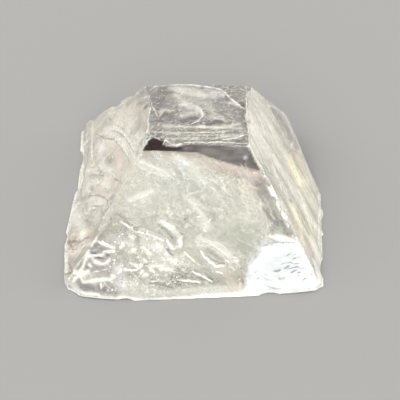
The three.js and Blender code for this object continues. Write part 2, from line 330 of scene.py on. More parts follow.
@dataclass
class Sighting:
    """Finds the place on a side of the stone that shows at a place of the camera's picture."""

    view: ViewPoint = ViewPoint()
    depth: float = 1.0
    facing: float = 0.6
    sawn: BVHTree = field(init=False)

    def __post_init__(self) -> None:
        """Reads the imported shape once."""
        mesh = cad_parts[NODE].data
        self.sawn = BVHTree.FromPolygons([v.co / MM - Vector(AXIS) for v in mesh.vertices],
                                         [tuple(p.vertices) for p in mesh.polygons])

    def find(self, facet: Facet, x: float, y: float) -> tuple[float, float, float]:
        """Follows one line of sight to the side, or to its true plane where another side hides it.

        Args:
            facet: The side.
            x: Picture elements from the left edge.
            y: Picture elements from the top edge.

        Returns:
            Across and up on the side, and the size of one picture element there.
        """
        origin, across, up, out = facet.axes()
        start = np.array(self.view.place()) / MM - AXIS
        ray = np.array(self.view.sight(x, y))
        spot, normal = self.sawn.ray_cast(Vector(start), Vector(ray).normalized())[:2]
        if (spot is None or abs((np.array(spot) - origin) @ out) > self.depth
                or abs(np.array(normal) @ out) < self.facing):
            spot = start + ray * ((origin - start) @ out / (ray @ out))
        away = np.array(spot) - origin
        size = (np.array(spot) - start) @ np.array(self.view.look()) * self.view.spread()
        return float(away @ across), float(away @ up), float(size)


SIGHTING = Sighting()


# ---- tones and marks ----------------------------------------------------------------------


class Tone(Enum):
    """What cracks, flecks and stains look like inside the clear stone; some of these tones also paint the
    shade in the wedge under the top's front edge, and SKY paints a window reflection.
    """

    SNOW = (0.98, 0.98, 0.94)
    ICE = (0.90, 0.95, 1.0)
    GREY = (0.30, 0.30, 0.27)
    SLATE = (0.38, 0.42, 0.48)
    PLUM = (0.20, 0.17, 0.19)
    SMOKE = (0.10, 0.09, 0.09)
    SHADE = (0.40, 0.36, 0.32)
    BROWN = (0.22, 0.15, 0.12)
    BLUSH = (0.86, 0.74, 0.68)
    GOLD = (0.97, 0.80, 0.50)
    STRAW = (1.0, 0.92, 0.66)
    SMEAR = (0.26, 0.25, 0.24)
    PINKISH = (0.22, 0.17, 0.19)
    DUSK = (0.38, 0.34, 0.38)
    LILAC = (0.86, 0.84, 0.90)
    SAND = (0.66, 0.60, 0.52)
    OLIVE = (0.58, 0.56, 0.38)
    # Bluish white of the painted window reflection.
    SKY = (0.66, 0.79, 0.93)
    CREAM = (1.0, 0.96, 0.80)


PROUD_TONES = (Tone.SNOW, Tone.ICE, Tone.GOLD, Tone.STRAW)
PALE_TONES = (Tone.SNOW, Tone.LILAC, Tone.CREAM)
DARK_TONES = (Tone.GREY, Tone.SLATE, Tone.PLUM, Tone.SMOKE, Tone.SHADE, Tone.BROWN)
SPECK_ENDS = (-0.275, -0.1, 0.3, 0.125)  # where a speck's two ends lie, as shares of its width


@dataclass(frozen=True)
class Mark:
    """A crack, streak, fleck or soft band on one side: tone, cover, width and path."""

    tone: Tone
    cover: float
    width: float
    path: Outline

    def near(self, across: Numbers, up: Numbers, reach: float) -> Numbers:
        """Numbers of the points that lie within reach of the path's own box."""
        corners = np.array(self.path)
        (left, low), (right, high) = corners.min(axis=0) - reach, corners.max(axis=0) + reach
        return np.flatnonzero((across > left) & (across < right) & (up > low) & (up < high))


def outlined(facet: Facet, *places: float) -> Outline:
    """Lays a closed outline on a side; places are each corner's x and y in the camera's picture."""
    return tuple(SIGHTING.find(facet, x, y)[:2] for x, y in zip(places[::2], places[1::2]))


def drawn(facet: Facet, slim: Pair = (1.0, 1.0), faint: float = 1.0, dim: float = 1.0,
          **rows: tuple) -> tuple[Mark, ...]:
    """Lays marks on a side.

    Args:
        facet: The side.
        slim: How much narrower the white streaks are made, and the white specks.
        faint: How much weaker the pale marks are made.
        dim: How much weaker the dark marks are made.
        rows: For each tone, rows that hold a cover, a width in picture elements, and then where
            each point of the mark shows in the camera's picture, as x and y in turn. A mark of
            one point is a speck.

    Returns:
        The marks, tone by tone.
    """
    marks = []
    for name, group in rows.items():
        tone = Tone[name.upper()]
        fade = faint if tone in PALE_TONES else dim if tone in DARK_TONES else 1.0
        for cover, width, *places in group:
            speck = len(places) == 2
            if speck:
                places = [place + end * width for place, end in zip(places * 2, SPECK_ENDS)]
            spots = [SIGHTING.find(facet, x, y) for x, y in zip(places[::2], places[1::2])]
            broad = width * spots[0][2] * (slim[speck] if tone is Tone.SNOW else 1.0)
            marks.append(Mark(tone, cover * fade, broad, tuple(spot[:2] for spot in spots)))
    return tuple(marks)


def rounded_chips(*places: tuple[float, float, float]) -> tuple:
    """Makes rows for short bright chips that point all ways.

    Args:
        places: Each chip's x and y in the camera's picture, and its size in picture elements.

    Returns:
        One row a chip, as drawn() takes it.
    """
    ways = ((0.9, 0.5), (-0.7, 0.8), (0.5, -0.7), (-0.9, -0.3), (0.8, 0.6))
    cover, breadth = 0.9, 1.15
    rows = []
    for number, (x, y, size) in enumerate(places):
        right, down = (size * way for way in ways[number % len(ways)])
        rows.append((cover, breadth * size, x - right, y - down, x + right, y + down))
    return tuple(rows)


ROUND_CHIPS = rounded_chips(
    (114, 272.5, 1.4), (119.5, 272.5, 1.4), (122, 244, 1.8), (131, 263, 1.2), (145, 260.5, 1.6),
    (136, 265, 1.8), (140, 265.5, 1.5), (134, 249, 1.8), (160, 246, 1.8), (167, 253.5, 1.6),
    (170.5, 259.5, 1.4), (175, 260.5, 1.4), (142, 269, 1.4), (146, 275, 1.5), (90, 265.5, 1.4),
    (152, 270, 1.2))

FRONT_MARKS = drawn(
    FRONT, slim=(0.8, 1.0),
    brown=((0.5, 1.4, 243.6, 257.5, 246, 262),),
    plum=((0.35, 4, 205, 249, 218, 257.6, 224, 260), (0.8, 1.8, 183.4, 220.2, 186.6, 217.4), (0.6, 2.6, 166.5,
        248, 173.5, 256.5), (0.85, 2.8, 96.6, 240.5, 97.6, 244), (0.75, 2.4, 100.5, 246.4, 103.6, 248.2),
        (0.7, 2, 90, 252.8, 97, 253.4), (0.8, 2, 94, 258, 104, 257.8), (0.6, 1.6, 105, 254.4, 111, 256.6)),
    grey=((0.75, 1.5, 123.5, 219.8, 129.8, 223.8), (0.45, 1.4, 132, 227.4, 142.6, 226.9, 160, 233.4), (0.8,
        1.8, 141.6, 230.3, 148, 236.4), (0.55, 2.4, 158, 226, 164, 229, 170, 234, 172, 239), (0.4, 2, 181,
        231, 183.4, 238, 183, 246), (0.75, 2, 207.5, 255.4, 213, 260.3, 225.8, 263.4), (0.5, 1.5, 208, 276.6,
        211, 278.4, 214, 278.8), (0.6, 1.4, 176.7, 282.9, 184, 285, 192, 287), (0.85, 2, 148, 283.9, 156.3,
        283.4, 170, 287), (0.45, 2.2, 205, 203, 210, 204.8), (0.5, 2, 143.5, 246, 152, 251), (0.2, 2.4, 251,
        263.5, 256, 256, 261, 250.6), (0.85, 3, 262, 206, 272, 219.6, 279.8, 227), (0.6, 1.6, 282, 231, 286.6,
        235), (0.6, 1, 276, 194.6, 278, 199.4, 278.2, 203), (0.6, 1.1, 288.6, 232, 291.6, 237), (0.5, 1, 268,
        178, 271.2, 190.4), (0.5, 1, 262.6, 172, 265.4, 176)),
    slate=((0.7, 1.4, 285, 256.3, 290.5, 253.2), (0.55, 1.2, 293.5, 254.6, 297.5, 253.4), (0.7, 1.3, 279.5,
        264, 289.2, 262.3, 293, 263.4, 300.2, 263.2), (0.8, 2.2, 283.4, 268.5, 290.8, 264.5), (0.8, 2.8,
        272.4, 271.6, 281.4, 269.8), (0.6, 1.5, 253.6, 273.6, 257, 271.2), (0.65, 1.5, 296, 273, 301.4,
        271.7), (0.5, 1, 296.5, 274.6, 300, 276.2), (0.3, 1.4, 262, 275.5, 266, 279, 271, 280.5), (0.3, 1.4,
        276, 278.5, 281, 277), (0.65, 1, 279.6, 205.6, 281, 210, 281.2, 214.6), (0.8, 1.3, 281.6, 221, 282.8,
        226.4, 286.6, 229.6), (0.5, 0.8, 285, 214.6, 286.4, 218.6), (0.5, 1.8, 262, 246, 270, 243.6, 280,
        242.4, 289, 242.4, 296.4, 243.4), (0.6, 1.6, 291, 260, 297.4, 257.4, 304, 257), (0.7, 1.3, 286.6,
        269.4, 296.6, 266.6, 300.6, 268.2, 307.6, 268), (0.75, 2, 289.6, 273.4, 297.6, 269.6), (0.75, 2.4,
        277.6, 276, 280.6, 278.2, 285.6, 276.8), (0.6, 1.4, 256.6, 279.4, 260, 277), (0.55, 1.3, 304, 281,
        303.4, 279.2, 307.6, 278, 312, 277.2), (0.35, 1.8, 266.6, 286, 274.6, 287.4, 282.6, 287), (0.35, 1.2,
        262, 273, 268, 275), (0.3, 1.6, 266, 251, 274, 250.4)),
    blush=((0.8, 3.4, 251, 172, 260.5, 174.6), (0.6, 2, 247.5, 181.5, 253, 183), (0.6, 1.6, 250, 190, 256,
        192)),
    ice=((0.75, 4.5, 178, 160, 183, 161.5, 190, 166), (0.7, 2.6, 199, 178, 206.6, 184.8), (0.7, 2.4, 180.5,
        169.5, 186, 175.6), (0.95, 4.8, 160.2, 246.6), (0.9, 3.4, 162.6, 251), (0.95, 4.4, 113.6, 272.6),
        (0.95, 4, 119.3, 272.6), (0.9, 3.4, 120.4, 265), (0.9, 3.6, 108.3, 286), (0.85, 3.2, 116, 285.5)),
    snow=((0.95, 7.5, 158, 220.5, 171, 227.5, 176, 231.5, 179.5, 238, 180, 244, 179, 249), (0.85, 2.8, 119.7,
        219.8, 123, 222.6, 125.8, 223.6, 129, 226.6, 131, 227, 135, 231, 143, 232.6, 165.4, 240.4), (0.95, 4,
        166, 238.5, 171, 247, 174.6, 248.6, 177, 245), (0.95, 4.4, 105, 219), (0.9, 2.4, 183, 250.4, 195,
        261.7), (0.95, 3.5, 199.8, 249.7, 204.7, 256.8, 215.3, 265.2, 220, 265.8, 225.8, 264.5), (0.75, 2.6,
        202, 240, 209.6, 243.4, 217.4, 248.3, 225.8, 254.6, 229.3, 259.6), (0.6, 2, 206, 239, 222, 248, 228,
        254, 232, 260), (0.6, 1.5, 204, 244.5, 212, 248, 226, 259), (0.6, 2, 212, 241, 220, 244, 226, 249,
        230, 255), (0.95, 4.2, 229.5, 261.5, 235, 261, 240, 261.7), (0.9, 1.6, 231, 257, 240.3, 258), (0.9, 3,
        231, 265, 235.6, 271), (0.8, 2.6, 224, 259, 232, 264.5), (0.95, 2.8, 192, 270.8, 213, 281.3), (0.95,
        2.8, 176, 279.2, 202, 282.4), (0.8, 2, 146, 281.8, 159, 281), (0.85, 2.4, 214.6, 270.8, 223.7, 274.3),
        (0.5, 1.8, 161.2, 269.4, 170, 270.6, 178, 272.9), (0.8, 2.4, 202, 227, 204.5, 230.5, 208.2, 232.2),
        (0.8, 2.2, 195, 216.8, 202.6, 216), (0.8, 3, 211, 217.5, 206, 224.5), (0.5, 2.2, 140, 162.4, 147.7,
        164.5, 163, 172), (0.5, 2.2, 137, 166, 150, 171.8, 168, 177), (0.45, 2.6, 210.4, 175.6, 215, 181, 227,
        192, 236, 206), (0.5, 2.4, 237.2, 179.4, 241, 183, 242.5, 187.8, 243, 204), (0.4, 2, 247, 198.6,
        248.6, 213.8), (0.4, 2, 253.2, 197.8, 256, 212), (0.65, 2.6, 184, 197.5, 189, 194.5, 195, 192.4,
        203.5, 191), (0.75, 3.2, 171, 171, 176.7, 176.6), (0.7, 4, 198, 171), (0.5, 2.2, 157, 186, 160.7,
        192), (0.45, 2.2, 138, 195.4, 150, 190.6), (0.45, 1.8, 138, 202, 146, 199.5, 151, 197), (0.6, 4,
        164.5, 179.4), (0.5, 3.6, 170.6, 187), (0.6, 2.8, 165.2, 193.2), (0.85, 4.4, 187, 211), (0.85, 3.8,
        208.2, 208.2), (0.7, 4.4, 172.9, 205.4), (0.8, 3.8, 153.7, 212.4), (0.8, 3.2, 191.4, 221), (0.8, 3.6,
        166, 219.4), (0.7, 5.2, 186.5, 225.2), (0.9, 3.2, 234.2, 234.3), (0.8, 3.8, 255.6, 243.5), (0.9, 3.6,
        183.7, 269.2), (0.9, 3, 189, 263.5), (0.9, 3, 170.5, 260), (0.8, 3.6, 159, 250.5), (0.8, 5.2, 132.7,
        238), (0.9, 8, 147, 250.7), (0.9, 5.2, 133.5, 249.6), (0.9, 3.6, 139.6, 258.8), (0.9, 3.8, 144.2,
        261.9), (0.8, 3.4, 130.4, 260.3), (0.9, 4.8, 122, 244.3), (0.9, 3.6, 104, 281), (0.8, 3.2, 127, 270),
        (0.8, 3.2, 136, 267), (0.9, 2.2, 90.6, 255.9, 104.4, 254.6), (0.95, 3.2, 92, 259.5, 102, 263.3, 106,
        262.3, 109, 260.6), (0.95, 2.6, 100, 240.5, 114.3, 245.8), (0.9, 2, 106, 252.9, 112.8, 252), (0.75, 3,
        85, 275, 90, 276.6, 109, 273.8), (0.8, 3, 82, 268, 87, 277), (0.9, 3, 101, 277, 102, 281, 101.5,
        285)))
# Marks drawn over the painted shade in the wedge under the top's front edge.
GAP_SHADE_MARKS = drawn(
    FRONT,
    pinkish=((0.6, 2.4, 238, 161.5, 243, 162.3, 247, 162), (0.5, 3.4, 186.5, 149.6, 193, 148)),
    smear=((0.6, 2.4, 219, 147.9, 238, 149), (0.5, 1.6, 220, 161.4, 240, 153.4), (0.35, 1.4, 176, 150, 182,
        150.4)),
    snow=((0.9, 4, 244.8, 157.4),))
LEFT_MARKS = drawn(
    LEFT, dim=0.6,
    smoke=((0.9, 4.4, 143.6, 108.4, 149.4, 104.4), (0.35, 4, 136, 104, 141, 103, 147, 99)),
    brown=((0.6, 3.4, 68.4, 250.2, 72, 247.6, 75.3, 245, 80, 241.4, 85.2, 238, 89, 237),),
    shade=((0.75, 1.8, 97, 134, 104.4, 138, 111.3, 138.9, 115.9, 141.2, 128, 158.8, 128.9, 163), (0.7, 1.6,
        109, 131.8, 114, 130.8, 119, 132.8, 125, 138, 130.4, 145.8, 134.3, 153.4), (0.45, 1.2, 113, 124, 119,
        126.4, 125.6, 131.4, 135, 145), (0.4, 1.6, 88.4, 133.6, 87.8, 145, 87.4, 156.5), (0.45, 1.6, 94, 142,
        93.4, 151, 92.8, 160.3), (0.75, 1.5, 88, 176, 95.3, 174.9, 104.4, 175.7), (0.45, 1.6, 90, 167.2, 95.3,
        167), (0.6, 2.2, 97.5, 166, 100, 170, 99.5, 173), (0.6, 1.8, 112, 175, 115, 179, 121, 181.5), (0.7,
        1.8, 126, 178, 128.6, 174), (0.8, 1.7, 88.3, 196, 98.3, 195.3, 103.6, 197.2, 107.4, 200.7, 107, 205.3,
        103.6, 210.6), (0.85, 1.8, 90.6, 206.8, 95.2, 205.7, 101.3, 206), (0.9, 1.8, 91.4, 210.4, 96, 209.2),
        (0.6, 1.6, 100.5, 208, 102, 212, 105, 216.5), (0.45, 1.8, 85.3, 203, 82.2, 208.3, 83.7, 214.5, 88.3,
        215.2), (0.4, 1.8, 77, 219, 81, 219.6), (0.7, 2.4, 67.6, 261, 72.2, 272.4, 70.6, 278), (0.6, 4, 74,
        262, 78, 257, 82, 250, 86, 245), (0.5, 1.6, 103, 111, 107, 113), (0.4, 1.4, 108, 118, 112, 121)),
    blush=((0.8, 3.4, 69, 254, 74, 250.5, 90, 238.6),),
    snow=((0.8, 2.6, 112, 127, 117.5, 128.6, 123.6, 133.6, 129.7, 141.2, 135, 151.2), (0.6, 2, 113, 120, 119,
        121.3, 126.6, 125.9, 136.6, 142.7), (0.85, 2.8, 114, 138, 125, 150.2, 130.2, 157.4), (0.6, 2, 102,
        139.5, 105.5, 143, 108.3, 148.9, 110.5, 157.3), (0.45, 4, 92.6, 132, 91.4, 147, 92, 156), (0.85, 3.4,
        86, 124.5, 83.4, 128, 82.2, 138, 81.8, 150, 81.2, 180), (0.8, 2.8, 81, 182, 79, 190, 76, 198, 72.4,
        205, 70.6, 211), (0.8, 2.4, 70, 216, 66.8, 252), (0.9, 1.3, 92, 208.4, 96, 207.6), (0.7, 2, 66.4, 262,
        67, 270, 67.6, 278), (0.7, 2, 83.5, 213, 79, 213, 76, 215), (0.6, 2.6, 108, 203, 110, 206.5, 104,
        216), (0.6, 2, 112, 113, 122, 109), (0.7, 2.2, 118, 107, 122, 104.4, 126, 103), (0.8, 3, 124.5, 106),
        (0.7, 3.2, 112, 117), (0.7, 3.2, 104.7, 157), (0.8, 2, 146, 134, 149, 122), (0.85, 2, 146, 145, 143.6,
        150, 139.4, 156, 136, 162)))
RIGHT_MARKS = drawn(
    RIGHT, dim=0.5,
    brown=((0.35, 1.6, 297.2, 186.2, 303.9, 188.1, 307, 192, 310.6, 197.7), (0.4, 1.8, 308.6, 235, 309.8,
        236.8)),
    grey=((0.85, 2.4, 288.2, 199.8, 292.6, 201.6), (0.5, 1.8, 266, 165.6, 269.6, 172.6), (0.6, 1.8, 296.2,
        208.2, 300.4, 216.4), (0.55, 2, 299, 233.6, 301.6, 234.6), (0.5, 2.4, 303, 253, 306, 254.6), (0.5,
        1.2, 250, 131, 257, 152), (0.6, 1.1, 288.6, 232, 291.6, 237), (0.5, 1, 268, 178, 269.6, 184.6, 271.2,
        190.4)),
    slate=((0.65, 1, 279.6, 205.6, 281, 210, 281.2, 214.6), (0.8, 1.3, 281.6, 221, 282.8, 226.4, 286.6,
        229.6)),
    shade=((0.5, 1.5, 276, 177.6, 280, 188), (0.6, 1.6, 280, 185.3, 282, 191, 283.8, 197.7), (0.6, 1.6, 288.6,
        154.6, 290, 151.6, 292.4, 150.6, 298.2, 153.7), (0.4, 4, 297.6, 193, 302, 202), (0.5, 1.6, 302, 219,
        305.6, 228, 307.6, 235), (0.5, 1.4, 307, 207, 310.6, 218, 313, 228), (0.6, 2, 303, 259.8, 309, 269.5,
        310.5, 275.6), (0.5, 1.6, 309, 250, 310, 257, 310.6, 264), (0.65, 1.6, 312, 264.6, 314.6, 271, 318.6,
        281), (0.6, 1.6, 249.8, 129, 250.4, 143)),
    olive=((0.7, 1.4, 296, 208.6, 305.6, 228, 308.8, 236), (0.7, 1.8, 311.6, 257, 313, 256.4)),
    sand=((0.6, 1.2, 306, 208, 310, 220, 313.6, 233),),
    snow=((0.7, 2, 270.4, 108.7, 277, 123, 282.8, 133.6, 288.6, 147), (0.6, 2, 261.8, 136, 268.5, 147, 271,
        156, 273.3, 166), (0.85, 2.8, 271.4, 160.4, 273.6, 166, 275.2, 171.9), (0.85, 2.4, 276.1, 171.9,
        278.4, 182, 283.4, 200), (0.85, 2.6, 280, 173.8, 283, 182, 287.6, 192.9), (0.6, 1.6, 283.6, 176,
        286.6, 184, 289, 192), (0.85, 3.4, 297, 186.8, 300.8, 193, 303.9, 200.6, 307.7, 212), (0.6, 2, 262,
        118, 266, 126, 270, 133), (0.6, 2, 254, 118, 258, 130, 263, 139), (0.6, 2.8, 256, 97, 260, 101, 262.6,
        105), (0.5, 1.6, 252, 140, 257, 148, 261, 157), (0.6, 2.4, 266, 152, 270.6, 163), (0.9, 2.6, 320,
        194.8, 321.4, 210, 321.8, 224), (0.7, 2, 305, 201, 309, 212, 312, 222, 313.6, 233), (0.7, 2.2, 298.6,
        217, 303, 226, 306.6, 236), (0.8, 2, 309, 262, 310.6, 268, 311.6, 275), (0.85, 1.6, 290, 240, 297.7,
        252.6, 309.4, 273), (0.85, 2, 313.6, 259, 315.4, 261), (0.85, 2.2, 271.2, 160.6, 273, 166, 274, 170),
        (0.8, 2, 277, 133, 277.8, 135), (0.7, 1.8, 258, 140.4, 259, 142), (0.7, 1.6, 264.6, 135.6, 266.6,
        139.6), (0.7, 2.4, 268, 152.6, 271.6, 154)))
TOP_MARKS = drawn(
    TOP, slim=(0.68, 0.68), faint=0.8,
    plum=((0.9, 4.2, 238.7, 102.2, 245.2, 106.4), (0.7, 4.4, 224, 95.6, 230, 100.2), (0.9, 5.2, 180, 121.6,
        198, 116.6), (0.75, 5, 205, 124.8, 217, 121.8, 224, 122.8), (0.6, 3.6, 153, 121.5, 164, 121), (0.5,
        2.4, 166, 119, 172, 120.6), (0.5, 4, 232, 140.6, 247, 139.6), (0.4, 2.4, 195, 129, 203, 128.6, 212,
        129)),
    grey=((0.8, 1.6, 181.3, 134, 193, 133.6), (0.7, 1.6, 197, 134, 219, 133), (0.6, 1.4, 166, 135.8, 171,
        134.8, 176, 135.4), (0.7, 1.8, 213.5, 111.2, 224.2, 114.6, 230.3, 118.3), (0.6, 1.8, 249.8, 129,
        250.3, 136.6)),
    snow=((0.9, 3.2, 152.2, 85, 163, 84.1, 182.8, 84.1, 216.5, 88.6, 224.2, 92.4, 230.3, 98.4, 245.6, 109.8),
        (0.85, 2.4, 190.5, 104.5, 196.6, 106, 201.2, 109.8, 202.7, 114.4, 201, 118, 198.1, 120.5, 190.5,
        124.6), (0.6, 1.8, 190.5, 109, 195, 109.8, 197.4, 112.9, 196, 116), (0.4, 1.6, 186, 112, 191, 113.4,
        193, 116), (0.85, 2.6, 151.6, 102, 147.5, 124), (0.8, 2, 151.4, 104, 158, 117.6), (0.6, 1.6, 165,
        109.4, 157.6, 118.3), (0.7, 1.7, 195, 132.4, 205, 132.6, 215, 131.9, 224.2, 130.4), (0.6, 1.6, 180,
        132.4, 192, 131.8), (0.9, 2.6, 221, 137.8, 233.3, 136.7, 241.8, 134, 248.4, 132.8), (0.6, 1.2, 186,
        137.6, 196, 138, 205, 138.6), (0.6, 1.4, 213, 139, 220, 138.2), (0.95, 2.2, 182.8, 143.2, 189.7,
        142.4, 203.5, 142.4, 207, 143.6, 213.5, 142, 243.3, 143.3, 249, 144.4), (0.95, 3.4, 162.4, 143.2, 166,
        140.8, 171.4, 144.6, 177.5, 145, 182.8, 143.2), (0.9, 2.2, 144.8, 142.9, 147, 140.6, 150.4, 138.4,
        155.3, 137, 159.9, 137.8, 162.3, 141), (0.8, 2.4, 147, 129, 149, 134, 152, 137), (0.95, 2, 246.4,
        88.5, 246.6, 109, 248, 125.6), (0.9, 1.6, 248, 126, 250.4, 129, 251.2, 145), (0.9, 4, 178.3, 98.4),
        (0.8, 3.6, 174, 95), (0.7, 3.2, 186, 96), (0.9, 3.8, 229.5, 103.7), (0.8, 3.4, 168.3, 112.9), (0.8,
        3.2, 176, 120.5), (0.7, 2.8, 199, 94), (0.7, 3.2, 159, 86.6), (0.6, 2, 171, 88, 187, 97), (0.5, 2,
        181, 87, 190, 90, 193, 93), (0.6, 2.2, 208, 94.5, 213, 92.5, 219, 93.2), (0.6, 2.4, 215.6, 118, 219,
        116.8, 223.5, 117)))
FRONT_BANDS = drawn(
    FRONT,
    # The first plum bands, low on the left, deepen the painted dark reflection there.
    plum=((0.62, 8, 92, 246, 98, 247, 107, 249), (0.62, 8, 87, 268, 112, 268), (0.62, 6, 83, 284, 114, 284),
        (0.5, 3, 96.5, 241.5, 97.5, 243.5), (0.4, 2.5, 98, 258, 103, 258), (0.14, 8, 232, 171, 258, 182),
        (0.3, 5, 86, 266, 97, 268, 108, 266), (0.34, 6, 82, 281, 96, 283, 112, 282)),
    grey=((0.16, 6, 126, 238, 142, 244, 158, 254), (0.15, 7, 120, 258, 130, 272, 146, 284), (0.14, 10, 76,
        262, 88, 270, 98, 282)),
    shade=((0.28, 6, 226, 165, 258, 175), (0.3, 7, 226, 167, 258, 177), (0.3, 4, 224, 170, 256, 175)),
    dusk=((0.4, 3, 266, 212, 278, 226), (0.25, 5, 246, 176, 262, 184)),
    olive=((0.16, 10, 118, 246, 134, 252, 150, 262, 164, 274),),
    sand=((0.4, 9, 222, 270, 240, 290), (0.35, 6, 245, 180, 268, 222), (0.3, 5, 205, 158, 236, 167)),
    blush=((0.3, 7, 226, 166, 256, 176),),
    lilac=((0.5, 8, 118, 270, 122, 278, 124, 288), (0.25, 7, 112, 236, 132, 243)),
    # Bluish bands in the lower right: painted window reflection.
    sky=((0.55, 5, 264, 248, 280, 245.5, 293, 247), (0.45, 8, 285, 262, 297, 262), (0.28, 8, 254, 274, 258,
        262, 266, 252), (0.4, 5, 268, 284, 285, 284.5, 300, 281), (0.35, 6, 288, 270, 300, 272)),
    snow=((0.85, 1.8, 94, 240.5, 114, 246), (0.85, 2, 89, 256, 103, 255), (0.8, 1.8, 104, 252, 114, 251.5),
        (0.8, 2, 95, 262, 102, 264, 107, 263, 109, 260.5), (0.8, 2.2, 81, 272, 84, 278, 112, 275), (0.9, 3.4,
        75, 288.5, 87, 290, 99, 290), (0.6, 2.5, 100, 292, 126, 294), (0.75, 2.6, 71, 281, 83, 267, 88, 250,
        96, 237), (0.6, 2.2, 76, 281, 84, 290), (0.7, 2, 125, 269.5, 135, 267, 142, 265), (0.7, 2, 149, 266,
        162, 266), (0.7, 1.8, 160, 269, 171, 269), (0.7, 3, 144, 247, 151, 254), (0.5, 3, 130, 236, 133,
        238.5), (0.4, 8, 136, 160, 168, 174), (0.5, 4, 130, 200, 152, 191), (0.35, 9, 176, 158, 190, 166, 205,
        182), (0.4, 8, 190, 200, 200, 212, 206, 226), (0.35, 6, 200, 238, 215, 244, 230, 256), (0.25, 8, 155,
        246, 166, 252, 176, 262), (0.9, 4, 120, 293, 150, 296.5, 176, 299), (0.9, 3.6, 176, 299.5, 236, 296),
        (0.8, 4, 270, 236, 290, 243), (0.9, 4, 277, 236, 292, 240), (0.8, 2.5, 75, 274, 88, 271), (0.85, 3.5,
        296, 243, 313, 270, 319, 283), *ROUND_CHIPS))
# Soft bands of painted shade in the same wedge.
GAP_SHADE_BANDS = drawn(
    FRONT,
    smoke=((0.5, 4, 250, 160, 258, 169), (0.4, 1.6, 206, 147, 226, 147.2)),
    pinkish=((0.5, 4, 206, 149, 212, 149.5), (0.55, 3, 226, 162, 238, 164.5)),
    dusk=((0.45, 3, 226, 148, 240, 149), (0.4, 2.6, 220, 158.5, 246, 156.5), (0.5, 3, 186, 148.5, 191, 148),
        (0.35, 3, 236, 153, 243, 152, 248, 154)),
    sand=((0.14, 6, 203, 150.5, 224, 155),),
    lilac=((0.55, 3, 245, 157, 246, 158),))
LEFT_BANDS = drawn(
    LEFT,
    brown=((0.35, 2.6, 69, 248, 92, 235),),
    grey=((0.55, 8, 128, 104, 147, 91), (0.35, 5, 116, 110, 128, 102)),
    dusk=((0.6, 5, 69, 258, 74, 262, 82, 256), (0.6, 4, 70, 268, 73, 274, 78, 268)),
    sand=((0.45, 2.6, 89, 128, 88.5, 160), (0.5, 3, 95, 130, 95.3, 145, 94.5, 165), (0.45, 2.4, 88, 176, 96,
        175, 104, 177), (0.6, 10, 134, 104, 142, 112, 146, 122)),
    blush=((0.5, 10, 108, 140, 116, 150, 120, 164), (0.4, 8, 96, 188, 116, 184)),
    straw=((0.25, 8, 72, 236, 92, 230),),
    lilac=((0.6, 8, 79, 190, 71, 214, 70, 226), (0.5, 7, 98, 142, 103, 160)),
    cream=((0.5, 3, 72, 254, 90, 243),),
    snow=((0.7, 7, 82, 128, 81.5, 184), (0.6, 3, 92, 128, 92, 160), (0.8, 4, 67, 228, 65.5, 272), (0.8, 4, 66,
        276, 68, 286, 75, 292), (0.45, 4, 98, 135, 106, 133, 115, 135, 122, 142, 128, 152), (0.4, 5, 104, 128,
        116, 127, 126, 134, 134, 147), (0.5, 5, 90, 170, 100, 168, 112, 170), (0.5, 5, 88, 184, 100, 183, 110,
        186), (0.35, 4, 86, 200, 97, 199, 106, 203), (0.6, 3, 67.5, 272, 69, 280, 73, 288), (0.55, 12, 74,
        210, 80, 224, 84, 238)))
